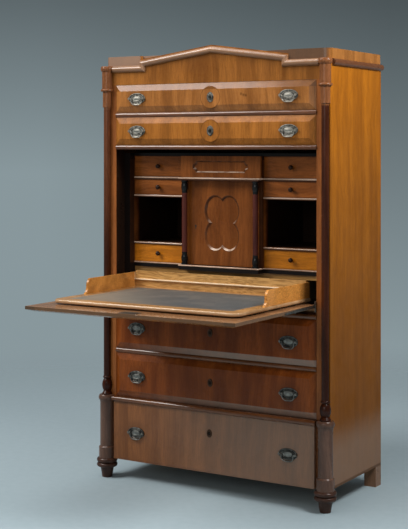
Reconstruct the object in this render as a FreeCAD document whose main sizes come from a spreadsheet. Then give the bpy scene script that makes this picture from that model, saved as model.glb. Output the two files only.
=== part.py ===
"""Fall-front escritoire with a folding writing tray: a parametric model in millimetres.

+X is right, +Y is back and +Z is up. The origin is on the floor, under the middle of the whole
object with its flap open. Depths in this file are measured backwards from the front of the posts.
"""
import FreeCAD, Part
import os
import re

import Sketcher

SIZES = {
    # Case
    "case_width": 1034,
    "case_depth": 460,
    "side_thick": 22,
    "post_width": 35,
    "post_depth": 60,
    "back_thick": 12,
    "back_panel_thick": 6,
    "back_frame_width": 80,
    "dust_thick": 12,
    "guide_height": 22,
    # Heights, from the floor up
    "foot_height": 80,
    "plinth_height": 236,
    "plinth_mould_height": 21,
    "lower_drawer_height": 178,
    "rail_height": 18,
    "opening_height": 618,
    "upper_drawer_height": 114,
    "frieze_height": 52,
    "cornice_height": 26,
    "attic_height": 39,
    # Mouldings, gable and attic
    "rail_nose": 5,
    "plinth_out": 17,
    "plinth_nose": 10,
    "plinth_strip_over": 4,
    "cornice_nose": 14,
    "cornice_stop": 28,
    "cornice_return": 16,
    "gable_set": 155,
    "gable_thick": 22,
    "gable_shoulder": 20,
    "gable_rise": 45,
    "gable_fillet": 5,
    "attic_inset": 2,
    "attic_corner": 28,
    "attic_wall": 18,
    # Corner columns, from the plinth ring up
    "column_inset": 17,
    "column_out": 7,
    "ring_over": 23,
    "vase_foot_radius": 21,
    "vase_foot_height": 5,
    "vase_waist_radius": 15,
    "vase_waist_height": 10,
    "vase_radius": 21.5,
    "vase_height": 60,
    "vase_neck_radius": 13,
    "bead_radius": 17.5,
    "bead_height": 12,
    "shaft_radius": 14.5,
    "small_drum_radius": 18.5,
    "small_drum_height": 65,
    "capital_ring_radius": 27,
    "capital_ring_height": 11,
    "capital_seat_radius": 24,
    "capital_drum_radius": 21.5,
    "capital_drum_height": 72,
    "cap_radius": 27.5,
    "cap_height": 21,
    # Plinth columns and feet
    "lower_drum_radius": 34,
    "lower_drum_height": 44,
    "drum_bead": 5,
    "plinth_drum_radius": 29,
    "ring_cove": 10,
    "ring_seat_radius": 31,
    "plinth_ring_radius": 35.5,
    "plinth_ring_height": 24,
    "foot_tip_radius": 21,
    "foot_neck_radius": 28,
    "foot_torus_radius": 43,
    "foot_torus_height": 19,
    "foot_seat_radius": 34.5,
    "rear_foot": 50,
    # Large drawers
    "drawer_gap": 1,
    "slide_gap": 0.3,
    "front_thick": 12,
    "front_out": 11,
    "bevel_width": 25,
    "key_disc_radius": 44,
    "plinth_front_thick": 22,
    "box_side_thick": 12,
    "box_bottom_thick": 7,
    "box_rear_gap": 36,
    "box_headroom": 6,
    # Handles and locks
    "handle_set": 112,
    "plate_half_width": 40,
    "plate_half_height": 22.5,
    "plate_thick": 2,
    "boss_half_width": 20,
    "boss_half_height": 10,
    "boss_thick": 2,
    "post_spread": 68,
    "ear_radius": 4.5,
    "ear_out": 11,
    "bail_axis_out": 7,
    "bail_radius": 2,
    "bail_play": 0.05,
    "bail_bend": 4,
    "bail_drop": 25,
    "bail_corner": 14,
    "escutcheon_half_width": 11,
    "escutcheon_half_height": 16,
    "keyhole_radius": 2.6,
    "keyhole_slot": 2.6,
    "keyhole_drop": 9,
    "lock_width": 56,
    "lock_height": 38,
    "lock_thick": 11,
    "upper_key_rise": -1,
    "lower_key_rise": 7,
    "plinth_key_rise": 38,
    # Writing flap
    "flap_side_gap": 7,
    "flap_top_gap": 4,
    "flap_tail": 20,
    "flap_edge_thick": 12,
    "flap_bevel_depth": 8,
    "pivot_rise": 26,
    "pivot_out": 2,
    "flap_rise": 11,
    "strap_thick": 2,
    "strap_length": 239,
    "strap_block": 92,
    "strap_tip": 6,
    "pin_radius": 3,
    "pin_play": 0.05,
    "pin_end_gap": 0.2,
    "pivot_plate_thick": 2.5,
    "pivot_plate_reach": 40,
    "pivot_plate_lip": 7,
    "pivot_plate_below": 15,
    "pivot_plate_above": 24,
    "lug_set": 12.5,
    "lug_depth": 5.5,
    "lug_length": 12,
    "flap_lock_width": 70,
    "flap_lock_depth": 45,
    "flap_lock_set": 10,
    "flap_lock_thick": 2,
    # Writing tray
    "tray_margin": 50,
    "tray_front_margin": 100,
    "tray_set": 54,
    "tray_gap": 5,
    "tray_thick": 14,
    "tray_corner": 35,
    "gallery_height": 59,
    "gallery_back_rise": 6,
    "gallery_thick": 10,
    "gallery_front": 193,
    "gallery_sweep": 34,
    "gallery_bow": 4.5,
    "ledge_rise": 34,
    "ledge_height": 8,
    "ledge_out": 8,
    "leather_border": 46,
    "leather_thick": 2,
    "tray_runner_set": 135,
    "tray_runner_width": 24,
    "tray_runner_rear": 30,
    "tray_runner_front": 70,
    "dovetail_neck": 12,
    "dovetail_width": 18,
    "dovetail_height": 6,
    "groove_stop": 35,
    # Inner case
    "inner_step": 28,
    "inner_side_thick": 28,
    "inner_rear_gap": 24,
    "inner_back_thick": 8,
    "inner_rise": 135,
    "inner_front": 93,
    "shelf_front": 89,
    "base_thick": 20,
    "apron_height": 18,
    "apron_thick": 14,
    "apron_set": 96,
    "low_cell": 73,
    "shelf_thick": 9,
    "inner_head_gap": 14,
    "middle_cell": 63,
    "head_shelf_thick": 12,
    "top_cell": 85,
    "inner_top_thick": 12,
    # Centre of the inner case
    "centre_width": 368,
    "partition_thick": 14,
    "centre_front": 78,
    "centre_ledge": 46,
    "door_frame_width": 19,
    "door_frame_thick": 14,
    "frieze_panel_front": 64,
    "frieze_panel_thick": 14,
    "plaque_margin": 56,
    "plaque_edge": 18.5,
    "plaque_scoop": 14,
    "plaque_edge_flat": 1.5,
    "plaque_bead": 6,
    "plaque_depth": 5,
    # Colonnettes
    "colonnette_inset": 20,
    "colonnette_set": 60,
    "colonnette_radius": 11,
    "colonnette_foot_radius": 13.5,
    "colonnette_foot_height": 8,
    "colonnette_bulge_radius": 13.5,
    "colonnette_bulge_height": 34,
    # Cupboard door
    "door_gap": 1.5,
    "door_thick": 18,
    "lobe_half_width": 81,
    "lobe_half_height": 112,
    "lobe_side_cusp": 61,
    "lobe_top_cusp": 98,
    "lobe_corner_x": 62,
    "lobe_corner_z": 99,
    "lobe_wide_level": 50,
    "lobe_high_set": 33,
    "lobe_edge_flat": 2,
    "lobe_bead": 9,
    "lobe_depth": 6,
    "knuckle_radius": 2.5,
    "knuckle_height": 18,
    "knuckle_set": 45,
    # Small drawers
    "small_gap": 0.8,
    "small_front_thick": 14,
    "small_side_thick": 7,
    "small_bottom_thick": 5,
    "small_rear_gap": 17,
    "small_headroom": 4,
    "knob_neck_radius": 4,
    "knob_neck_length": 6,
    "knob_radius": 9.5,
    "knob_length": 21,
}

doc = FreeCAD.newDocument("escritoire")
sheet = doc.addObject("Spreadsheet::Sheet", "Sizes")
for row, (alias, size) in enumerate(SIZES.items(), start=1):
    sheet.set(f"A{row}", alias)
    sheet.set(f"B{row}", str(size))
    sheet.setAlias(f"B{row}", alias)
doc.recompute()

# Planes for sketches: what is drawn to the right and up in each of them
FRONT_VIEW = FreeCAD.Rotation(FreeCAD.Vector(1, 0, 0), 90)
SIDE_VIEW = FreeCAD.Rotation(FreeCAD.Vector(1, 1, 1), 120)
PLAN_VIEW = FreeCAD.Rotation()
ALONG_X = FreeCAD.Rotation(FreeCAD.Vector(0, 1, 0), 90)
ALONG_MINUS_Y = FreeCAD.Rotation(FreeCAD.Vector(1, 0, 0), 90)
UPRIGHT_FRONT_VIEW = FRONT_VIEW * FreeCAD.Rotation(FreeCAD.Vector(0, 0, 1), 90)

# The share of a corner's radius that lies between its middle and each of its sides
CORNER_SHARE = 1 - 0.5 ** 0.5

# Depths, with FRONT the depth of the post fronts from the origin
FLAP_LENGTH = "opening_height - pivot_rise - flap_top_gap"
FRONT = f"({FLAP_LENGTH} + pivot_out - case_depth) / 2"
INNER_BACK = "case_depth - back_thick - inner_rear_gap"
TRAY_FRONT = f"tray_front_margin - pivot_out - ({FLAP_LENGTH})"

# Half widths
HALF = "case_width / 2"
INSIDE = "case_width / 2 - side_thick"
OPENING = f"{INSIDE} - post_width"
FLAP_HALF = f"{OPENING} - flap_side_gap"
TRAY_HALF = f"{FLAP_HALF} - tray_margin"
INNER_HALF = f"{OPENING} - inner_step"
GABLE_HALF = f"{INSIDE} - gable_set"
HANDLE_X = f"{OPENING} - handle_set"
RUNNER_X = f"{TRAY_HALF} - tray_runner_set"
CENTRE_HALF = "centre_width / 2"
COLUMN_X = "case_width / 2 - column_inset"

# Levels, from the floor up
PLINTH_TOP = "foot_height + plinth_height"
LOW_B = f"{PLINTH_TOP} + plinth_mould_height"
TOP_B = f"{LOW_B} + lower_drawer_height"
LOW_A = f"{TOP_B} + rail_height"
TOP_A = f"{LOW_A} + lower_drawer_height"
SILL = f"{TOP_A} + rail_height"
HEAD = f"{SILL} + opening_height"
LOW_2 = f"{HEAD} + rail_height"
TOP_2 = f"{LOW_2} + upper_drawer_height"
LOW_1 = f"{TOP_2} + rail_height"
TOP_1 = f"{LOW_1} + upper_drawer_height"
CORNICE = f"{TOP_1} + frieze_height"
ATTIC = f"{CORNICE} + cornice_height"
CROWN = f"{ATTIC} + attic_height"
PIVOT = f"{SILL} + pivot_rise"
FLAP_TOP = f"{PIVOT} + flap_rise"
TRAY_LOW = f"{FLAP_TOP} + tray_gap"
TRAY_TOP = f"{TRAY_LOW} + tray_thick"
BASE = f"{SILL} + inner_rise"
LOW_CELL = f"{BASE} + base_thick"
LOW_SHELF = f"{LOW_CELL} + low_cell"
INNER_TOP = f"{HEAD} - inner_head_gap - inner_top_thick"
TOP_CELL = f"{INNER_TOP} - top_cell"
HEAD_SHELF = f"{TOP_CELL} - head_shelf_thick"
MIDDLE_CELL = f"{HEAD_SHELF} - middle_cell"
MIDDLE_SHELF = f"{MIDDLE_CELL} - shelf_thick"

nodes = []


# Helpers

def expand(text):
    """Turn plain size names into references to the sheet."""
    return re.sub(r"[a-z][a-z_]+", lambda word: f"Sizes.{word.group()}", text)


def number(text):
    return float(sheet.evalExpression(expand(text)))


def bind(thing, prop, text):
    thing.setExpression(prop, expand(text))


def minus(text):
    return f"-({text})"


def place(thing, x, y, z, rotation=None):
    """Put a piece at expressions; y counts backwards from the post fronts."""
    if rotation:
        thing.Placement = FreeCAD.Placement(FreeCAD.Vector(), rotation)
    bind(thing, "Placement.Base.x", x)
    bind(thing, "Placement.Base.y", f"{FRONT} + ({y})")
    bind(thing, "Placement.Base.z", z)
    return thing


def board(x, y, z):
    """A squared board between pairs of expressions."""
    piece = doc.addObject("Part::Box", "board")
    place(piece, x[0], y[0], z[0])
    for prop, (low, high) in (("Length", x), ("Width", y), ("Height", z)):
        bind(piece, prop, f"({high}) - ({low})")
    return piece


def across(half):
    """The span that reaches as far to the left as to the right."""
    return minus(half), half


def on_side(side, low, high):
    """A span on the right (+1), or its mirror image on the left (-1)."""
    return (low, high) if side > 0 else (minus(high), minus(low))


def at_side(side, x):
    return x if side > 0 else minus(x)


def rod(radius, length, x, y, z, rotation):
    piece = doc.addObject("Part::Cylinder", "rod")
    bind(piece, "Radius", radius)
    bind(piece, "Height", length)
    return place(piece, x, y, z, rotation)


def oval(half_width, half_height, thick, x, y, z):
    """An oval plate whose back is at depth y."""
    upright = number(half_height) > number(half_width)
    curve = doc.addObject("Part::Ellipse", "oval")
    bind(curve, "MajorRadius", half_height if upright else half_width)
    bind(curve, "MinorRadius", half_width if upright else half_height)
    place(curve, x, y, z, UPRIGHT_FRONT_VIEW if upright else FRONT_VIEW)
    plate = extruded(curve, thick)
    plate.DirMode = "Custom"
    plate.Dir = FreeCAD.Vector(0, -1, 0)
    return plate


def extruded(outline, length):
    piece = doc.addObject("Part::Extrusion", "extrusion")
    piece.Base = outline
    piece.DirMode = "Normal"
    piece.Solid = True
    bind(piece, "LengthFwd", length)
    return piece


def lofted(*outlines):
    piece = doc.addObject("Part::Loft", "loft")
    piece.Sections = list(outlines)
    piece.Solid = True
    piece.Ruled = True
    return piece


def cut(piece, *tools):
    for tool in tools:
        result = doc.addObject("Part::Cut", "cut")
        result.Base = piece
        result.Tool = tool
        piece = result
    return piece


def fuse(*pieces):
    result = doc.addObject("Part::MultiFuse", "fuse")
    result.Shapes = list(pieces)
    result.Refine = True
    return result


def node(name, *pieces):
    """Name a sub-part: one piece, or a group of separate solids."""
    thing = pieces[0]
    if len(pieces) > 1:
        thing = doc.addObject("Part::Compound", "group")
        thing.Links = list(pieces)
    thing.Label = name
    nodes.append(thing)


def fix(sketch, geometry, end, point):
    """Tie one point of a sketch to a pair of expressions."""
    for kind, text in zip(("DistanceX", "DistanceY"), point):
        rule = Sketcher.Constraint(kind, -1, 1, geometry, end, number(text))
        index = sketch.addConstraint(rule)
        bind(sketch, f"Constraints[{index}]", text)


def draw(sketch, start, steps, closed=True):
    """Draw lines (x, y) and arcs (middle x, middle y, x, y), with every point tied to sizes."""
    here = start
    last = None
    first = None
    moves = list(steps)
    if closed and moves[-1][-2:] != start:
        moves.append(start)
    for step in moves:
        there = step[-2:]
        begin = FreeCAD.Vector(number(here[0]), number(here[1]))
        finish = FreeCAD.Vector(number(there[0]), number(there[1]))
        ends = (1, 2)
        if len(step) == 4:
            middle = FreeCAD.Vector(number(step[0]), number(step[1]))
            leftwards = (middle - begin).cross(finish - middle).z > 0
            if leftwards:
                arc = Part.Arc(begin, middle, finish)
            else:
                arc = Part.Arc(finish, middle, begin)
                ends = (2, 1)
            edge = sketch.addGeometry(arc, False)
            mark = sketch.addGeometry(Part.Point(middle), True)
            fix(sketch, mark, 1, step[:2])
            sketch.addConstraint(Sketcher.Constraint("PointOnObject", mark, 1, edge))
        else:
            edge = sketch.addGeometry(Part.LineSegment(begin, finish), False)
        fix(sketch, edge, ends[0], here)
        if last:
            sketch.addConstraint(Sketcher.Constraint("Coincident", last[0], last[1], edge, ends[0]))
        first = first or (edge, ends[0])
        last = (edge, ends[1])
        here = there
    if closed:
        sketch.addConstraint(Sketcher.Constraint("Coincident", last[0], last[1], first[0], first[1]))
    else:
        fix(sketch, last[0], last[1], here)
    return sketch


def outline(view, x, y, z, start, steps, closed=True):
    sketch = doc.addObject("Sketcher::SketchObject", "outline")
    place(sketch, x, y, z, view)
    return draw(sketch, start, steps, closed)


def turned(steps, x, y, z, rotation=None):
    """A turned piece: steps of (radius, height) from its foot on the axis, closed along the axis."""
    body = doc.addObject("PartDesign::Body", "turned")
    sketch = body.newObject("Sketcher::SketchObject", "profile")
    plane = next(item for item in body.Origin.OriginFeatures if item.Role == "XZ_Plane")
    sketch.AttachmentSupport = [(plane, "")]
    sketch.MapMode = "FlatFace"
    draw(sketch, ("0", "0"), steps)
    turn = body.newObject("PartDesign::Revolution", "turn")
    turn.Profile = sketch
    turn.ReferenceAxis = (sketch, ["V_Axis"])
    turn.Angle = 360
    body.Tip = turn
    return place(body, x, y, z, rotation)


def bevelled(x, z, back, face, bevel, view=None, low=None):
    """A raised field with sloping margins, from its back to its smaller face."""
    piece = doc.addObject("Part::Wedge", "field")
    for prop, text in (("Ymin", face), ("Ymax", back), ("X2min", x[0]), ("X2max", x[1]),
                       ("Z2min", z[0]), ("Z2max", z[1]), ("Xmin", f"{x[0]} + {bevel}"),
                       ("Xmax", f"{x[1]} - {bevel}"), ("Zmin", f"{z[0]} + {bevel}"),
                       ("Zmax", f"{z[1]} - {bevel}")):
        bind(piece, prop, text)
    return place(piece, "0", "0", low or "0", view)


# Carcase

def carcase():
    for name, side in (("side_panel_left", -1), ("side_panel_right", 1)):
        node(name, board(on_side(side, INSIDE, HALF), ("0", "case_depth"), ("foot_height", ATTIC)))
    node("corner_posts", *[board(on_side(side, OPENING, INSIDE), ("0", "post_depth"), ("foot_height", TOP_1))
                           for side in (-1, 1)])


def back():
    front = "case_depth - back_thick"
    sides = (front, "case_depth")
    frame = [board(on_side(side, f"{INSIDE} - back_frame_width", INSIDE), sides, ("foot_height", CORNICE))
             for side in (-1, 1)]
    frame.append(board(across("back_frame_width / 2"), sides, ("foot_height", CORNICE)))
    panels = []
    for side in (-1, 1):
        inner = on_side(side, "back_frame_width / 2", f"{INSIDE} - back_frame_width")
        frame.append(board(inner, sides, ("foot_height", "foot_height + back_frame_width")))
        frame.append(board(inner, sides, (f"{SILL} - back_frame_width", SILL)))
        frame.append(board(inner, sides, (f"{CORNICE} - back_frame_width", CORNICE)))
        for low, high in (("foot_height + back_frame_width", f"{SILL} - back_frame_width"),
                          (SILL, f"{CORNICE} - back_frame_width")):
            panels.append(board(inner, (front, f"{front} + back_panel_thick"), (low, high)))
    node("back_boards", *frame, *panels)


def dust_boards():
    """Boards that the drawers slide on, with guides beside the drawers."""
    depth = ("post_depth", "case_depth - back_thick")
    floor = "foot_height + rail_height"
    boards = [board(across(OPENING), ("front_thick", "post_depth"), ("foot_height", floor))]
    for top in (floor, LOW_B, LOW_A, SILL, LOW_2, LOW_1):
        boards.append(board(across(INSIDE), depth, (f"{top} - dust_thick", top)))
        if top == SILL:
            continue
        for side in (-1, 1):
            boards.append(board(on_side(side, OPENING, INSIDE), depth, (top, f"{top} + guide_height")))
    node("dust_boards", *boards)


def rails():
    pieces = []
    for low in (TOP_B, TOP_A, HEAD, TOP_2):
        middle = f"{low} + rail_height / 2"
        high = f"{low} + rail_height"
        shape = outline(SIDE_VIEW, minus(OPENING), "0", "0", ("post_depth", low),
                        [("0", low), ("-rail_nose", middle, "0", high), ("post_depth", high)])
        pieces.append(extruded(shape, f"2 * ({OPENING})"))
    node("drawer_rails", *pieces)
    rail = board(across(OPENING), ("0", "post_depth"), (PLINTH_TOP, LOW_B))
    strip_half = f"{OPENING} + plinth_strip_over"
    shape = outline(SIDE_VIEW, minus(strip_half), "0", "0", ("0", PLINTH_TOP),
                    [("-plinth_out", PLINTH_TOP),
                     ("-plinth_out - plinth_nose", f"{PLINTH_TOP} + plinth_mould_height / 2",
                      "-plinth_out", LOW_B), ("0", LOW_B)])
    node("plinth_moulding", rail, extruded(shape, f"2 * ({strip_half})"))


# Gable, cornice and attic

def crown():
    level = f"{CORNICE} + cornice_height / 2"
    reach = f"{GABLE_HALF} - cornice_height / 2"
    slope = f"gable_rise / ({reach})"
    over = "cornice_height / 2 + gable_fillet"
    shoulder = f"{level} + gable_shoulder + {over} - {slope} * cornice_height / 2"
    apex = f"{level} + gable_shoulder + gable_rise + {over}"
    face = outline(FRONT_VIEW, "0", "gable_thick", "0", (minus(INSIDE), TOP_1),
                   [(INSIDE, TOP_1), (INSIDE, ATTIC), (GABLE_HALF, ATTIC),
                    (GABLE_HALF, shoulder), ("0", apex), (minus(GABLE_HALF), shoulder),
                    (minus(GABLE_HALF), ATTIC), (minus(INSIDE), ATTIC)])
    node("gable_board", extruded(face, "gable_thick"))

    end = f"{COLUMN_X} - cornice_stop"
    path = outline(FRONT_VIEW, "0", "0", "0", (minus(end), level),
                   [(minus(reach), level), (minus(reach), f"{level} + gable_shoulder"),
                    ("0", f"{level} + gable_shoulder + gable_rise"), (reach, f"{level} + gable_shoulder"),
                    (reach, level), (end, level)], closed=False)
    half_round = outline(SIDE_VIEW, minus(end), "0", level, ("0", "-cornice_height / 2"),
                         [("-cornice_nose", "0", "0", "cornice_height / 2")])
    moulding = doc.addObject("Part::Sweep", "moulding")
    moulding.Sections = [half_round]
    moulding.Spine = (path, [])
    moulding.Solid = True
    moulding.Transition = "Right corner"
    pieces = [moulding]
    for side in (-1, 1):
        shape = outline(FRONT_VIEW, at_side(side, HALF), "case_depth", level, ("0", "-cornice_height / 2"),
                        [(at_side(side, "cornice_nose"), "0", "0", "cornice_height / 2")])
        pieces.append(extruded(shape, "case_depth - cornice_return"))
    node("cornice_moulding", *pieces)
    node("cornice_board", board(across(INSIDE), ("gable_thick", "case_depth"), (CORNICE, ATTIC)))

    half = f"{HALF} - attic_inset"
    rear = "case_depth - attic_inset"
    share = f"attic_corner * {CORNER_SHARE}"
    plan = outline(PLAN_VIEW, "0", "0", ATTIC, (minus(half), rear),
                   [(minus(half), "attic_inset + attic_corner"),
                    (f"-({half}) + {share}", f"attic_inset + {share}",
                     f"-({half}) + attic_corner", "attic_inset"),
                    (f"{half} - attic_corner", "attic_inset"),
                    (f"{half} - {share}", f"attic_inset + {share}", half, "attic_inset + attic_corner"),
                    (half, rear)])
    notch = board(across(GABLE_HALF), ("0", "gable_thick"), (ATTIC, CROWN))
    hollow = board(across(f"{half} - attic_wall"), ("gable_thick + attic_wall", f"{rear} - attic_wall"),
                   (ATTIC, f"{CROWN} - attic_wall"))
    node("attic_box", cut(extruded(plan, "attic_height"), notch, hollow))


# Columns and feet

def corner_turning(profile, side, foot):
    """A turned column, cut to fit round the corner of the case."""
    column = turned(profile, at_side(side, COLUMN_X), "-column_out", foot)
    return cut(column, board(on_side(side, "0", HALF), ("0", "case_depth"), ("0", CROWN)))


def columns():
    foot = f"{PLINTH_TOP} + ring_over"
    height = f"{ATTIC} - ({foot})"
    waist = "vase_foot_height + vase_waist_height"
    neck = "vase_foot_height + vase_height"
    cap = f"{height} - cap_height"
    drum = f"{cap} - capital_drum_height"
    ring = f"{drum} - capital_ring_height"
    shaft_top = f"{ring} - small_drum_height"
    profile = [
        ("vase_foot_radius", "0"), ("vase_foot_radius", "vase_foot_height"),
        ("vase_waist_radius", waist),
        ("vase_radius", f"({waist} + {neck}) / 2", "vase_neck_radius", neck),
        ("bead_radius", f"{neck} + bead_height / 2", "vase_neck_radius", f"{neck} + bead_height"),
        ("shaft_radius", f"{neck} + bead_height"), ("shaft_radius", shaft_top),
        ("small_drum_radius", shaft_top), ("small_drum_radius", ring), ("capital_seat_radius", ring),
        ("capital_ring_radius", f"{ring} + capital_ring_height / 2", "capital_seat_radius", drum),
        ("capital_drum_radius", drum), ("capital_drum_radius", cap), ("capital_seat_radius", cap),
        ("cap_radius", f"{cap} + cap_height / 2", "capital_seat_radius", height), ("0", height),
    ]
    node("corner_columns", *[corner_turning(profile, side, foot) for side in (-1, 1)])

    height = "plinth_height + ring_over"
    ring = f"{height} - plinth_ring_height"
    profile = [
        ("lower_drum_radius", "0"), ("lower_drum_radius", "lower_drum_height"),
        ("plinth_drum_radius", "lower_drum_height + drum_bead"),
        ("plinth_drum_radius", f"{ring} - ring_cove"), ("ring_seat_radius", ring),
        ("plinth_ring_radius", f"{ring} + plinth_ring_height / 2", "ring_seat_radius", height),
        ("0", height),
    ]
    node("plinth_columns", *[corner_turning(profile, side, "foot_height") for side in (-1, 1)])

    lower = "foot_height - 2 * foot_torus_height"
    middle = "foot_height - foot_torus_height"
    profile = [
        ("foot_tip_radius", "0"), ("foot_neck_radius", lower), ("foot_seat_radius", lower),
        ("foot_torus_radius", f"{lower} + foot_torus_height / 2", "foot_seat_radius", middle),
        ("foot_torus_radius", f"{middle} + foot_torus_height / 2", "foot_seat_radius", "foot_height"),
        ("0", "foot_height"),
    ]
    feet = [turned(profile, at_side(side, COLUMN_X), "-column_out", "0") for side in (-1, 1)]
    rear = ("case_depth - rear_foot", "case_depth")
    for side in (-1, 1):
        feet.append(board(on_side(side, f"{HALF} - rear_foot", HALF), rear, ("0", "foot_height")))
    node("feet", *feet)


# Large drawers

def fittings(name, x, face, level, key, inner_face):
    """Handle plates, escutcheon and lock of one drawer; face is the depth of its front."""
    pieces = []
    for side in (-1, 1):
        middle = at_side(side, x)
        plate_face = f"{face} - plate_thick"
        pieces.append(oval("plate_half_width", "plate_half_height", "plate_thick", middle, face, level))
        pieces.append(oval("boss_half_width", "boss_half_height", "boss_thick", middle, plate_face, level))
        for end in (-1, 1):
            ear = rod("ear_radius", "ear_out - plate_thick", f"{middle} + {at_side(end, 'post_spread / 2')}",
                      plate_face, level, ALONG_MINUS_Y)
            hole = rod("bail_radius + bail_play", "post_spread", f"{middle} - post_spread / 2",
                       f"{face} - bail_axis_out", level, ALONG_X)
            pieces.append(cut(ear, hole))
    escutcheon = oval("escutcheon_half_width", "escutcheon_half_height", "plate_thick", "0", face, key)
    keyhole = rod("keyhole_radius", "plate_thick", "0", face, key, ALONG_MINUS_Y)
    slot = board(across("keyhole_slot / 2"), (f"{face} - plate_thick", face),
                 (f"{key} - keyhole_drop", key))
    pieces.append(cut(escutcheon, keyhole, slot))
    pieces.append(board(across("lock_width / 2"), (inner_face, f"{inner_face} + lock_thick"),
                        (f"{key} - lock_height / 2", f"{key} + lock_height / 2")))
    node(name, *pieces)


def bail(name, x, y, level):
    end = "post_spread / 2"
    outer = f"{end} - ear_radius - slide_gap"
    arm = f"{outer} - bail_bend"
    knee = "-bail_drop + bail_corner"
    foot = f"{arm} - bail_corner"
    bend_share = f"bail_bend * {CORNER_SHARE}"
    share = f"bail_corner * {CORNER_SHARE}"
    path = outline(FRONT_VIEW, x, y, level, (minus(end), "0"), [
        (minus(outer), "0"),
        (f"-({arm}) - {bend_share}", f"-{bend_share}", minus(arm), "-bail_bend"),
        (minus(arm), knee),
        (f"-({arm}) + {share}", f"-bail_drop + {share}", minus(foot), "-bail_drop"),
        (foot, "-bail_drop"),
        (f"{arm} - {share}", f"-bail_drop + {share}", arm, knee),
        (arm, "-bail_bend"),
        (f"{arm} + {bend_share}", f"-{bend_share}", outer, "0"),
        (end, "0")], closed=False)
    section = doc.addObject("Part::Circle", "section")
    bind(section, "Radius", "bail_radius")
    place(section, f"{x} - {end}", y, level, ALONG_X)
    wire = doc.addObject("Part::Sweep", "bail")
    wire.Sections = [section]
    wire.Spine = (path, [])
    wire.Solid = True
    wire.Transition = "Right corner"
    node(name, wire)


def drawer_box(name, inner_face, low, high):
    side_back = "case_depth - back_thick - box_rear_gap"
    half = f"{OPENING} - drawer_gap"
    inner = f"{half} - box_side_thick"
    base = f"{low} + slide_gap"
    floor = f"{base} + box_bottom_thick"
    top = f"{high} - box_headroom"
    node(name,
         *[board(on_side(side, inner, half), (inner_face, side_back), (base, top)) for side in (-1, 1)],
         board(across(inner), (f"{side_back} - box_side_thick", side_back), (floor, top)),
         board(across(inner), (inner_face, side_back), (base, floor)))


def drawer(name, low, high, key_rise, key_disc):
    """A drawer with a bevelled front that stands proud of the rails."""
    width = across(f"{OPENING} - drawer_gap")
    height = (f"{low} + drawer_gap", f"{high} - drawer_gap")
    level = f"({low} + {high}) / 2"
    key = f"{level} + {key_rise}"
    face = "-front_out"
    pieces = [board(width, ("0", "front_thick"), height), bevelled(width, height, "0", face, "bevel_width")]
    if key_disc:
        pieces.append(rod("key_disc_radius", "front_out", "0", "0", key, ALONG_MINUS_Y))
    node(f"{name}_front", fuse(*pieces))
    drawer_box(f"{name}_box", "front_thick", low, high)
    fittings(f"{name}_fittings", HANDLE_X, face, level, key, "front_thick")
    for word, side in (("left", -1), ("right", 1)):
        bail(f"{name}_bail_{word}", at_side(side, HANDLE_X), f"{face} - bail_axis_out", level)


def plinth_drawer():
    low = "foot_height"
    box_low = "foot_height + rail_height"
    name = "plinth_drawer"
    face = "-plinth_out"
    inner_face = "plinth_front_thick - plinth_out"
    node(f"{name}_front", board(across(f"{OPENING} - drawer_gap"), (face, inner_face),
                                (f"{low} + drawer_gap", f"{PLINTH_TOP} - drawer_gap")))
    drawer_box(f"{name}_box", inner_face, box_low, PLINTH_TOP)
    level = f"({low} + {PLINTH_TOP}) / 2"
    fittings(f"{name}_fittings", HANDLE_X, face, level, f"{level} + plinth_key_rise", inner_face)
    for word, side in (("left", -1), ("right", 1)):
        bail(f"{name}_bail_{word}", at_side(side, HANDLE_X), f"{face} - bail_axis_out", level)


# Writing flap

def flap():
    tail = "flap_tail - pivot_out"
    free_edge = f"-pivot_out - ({FLAP_LENGTH})"
    low = f"{FLAP_TOP} - flap_edge_thick"
    plate = board(across(FLAP_HALF), (free_edge, tail), (low, FLAP_TOP))
    field = bevelled(across(FLAP_HALF), ("0", FLAP_LENGTH), "flap_bevel_depth", "0", "bevel_width",
                     FRONT_VIEW, f"{low} - flap_bevel_depth")
    bind(field, "Placement.Base.y", f"{FRONT} - pivot_out")
    node("flap_board", fuse(plate, field))

    straps = []
    plates = []
    for side in (-1, 1):
        root = f"{FLAP_HALF} + strap_thick"
        shape = outline(SIDE_VIEW, on_side(side, FLAP_HALF, root)[0], "0", "0", (tail, low),
                        [("-strap_length", low), ("-strap_length", f"{low} + strap_tip"),
                         ("-strap_block", FLAP_TOP), (tail, FLAP_TOP)])
        strap = extruded(shape, "strap_thick")
        pin_x = root if side > 0 else f"-({OPENING} - pin_end_gap)"
        pin = rod("pin_radius", f"{OPENING} - pin_end_gap - ({root})", pin_x, "-pivot_out", PIVOT, ALONG_X)
        straps.append(fuse(strap, pin))
        inner = f"{OPENING} - pivot_plate_thick"
        plate = board(on_side(side, inner, OPENING), ("-pivot_out - pivot_plate_lip", "pivot_plate_reach"),
                      (f"{PIVOT} - pivot_plate_below", f"{PIVOT} + pivot_plate_above"))
        lug_y = "lug_set - pivot_out"
        lug = board(on_side(side, f"{inner} - lug_length", inner), (lug_y, f"{lug_y} + lug_depth"),
                    (f"{FLAP_TOP} + slide_gap", f"{PIVOT} + pivot_plate_above"))
        hole_x = inner if side > 0 else minus(OPENING)
        hole = rod("pin_radius + pin_play", "pivot_plate_thick", hole_x, "-pivot_out", PIVOT, ALONG_X)
        plates.append(cut(fuse(plate, lug), hole))
    lock = board(across("flap_lock_width / 2"),
                 (f"{free_edge} + flap_lock_set", f"{free_edge} + flap_lock_set + flap_lock_depth"),
                 (FLAP_TOP, f"{FLAP_TOP} + flap_lock_thick"))
    node("flap_brasses", *straps, lock)
    node("pivot_plates", *plates, *door_knuckles(0))


# Writing tray

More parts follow.
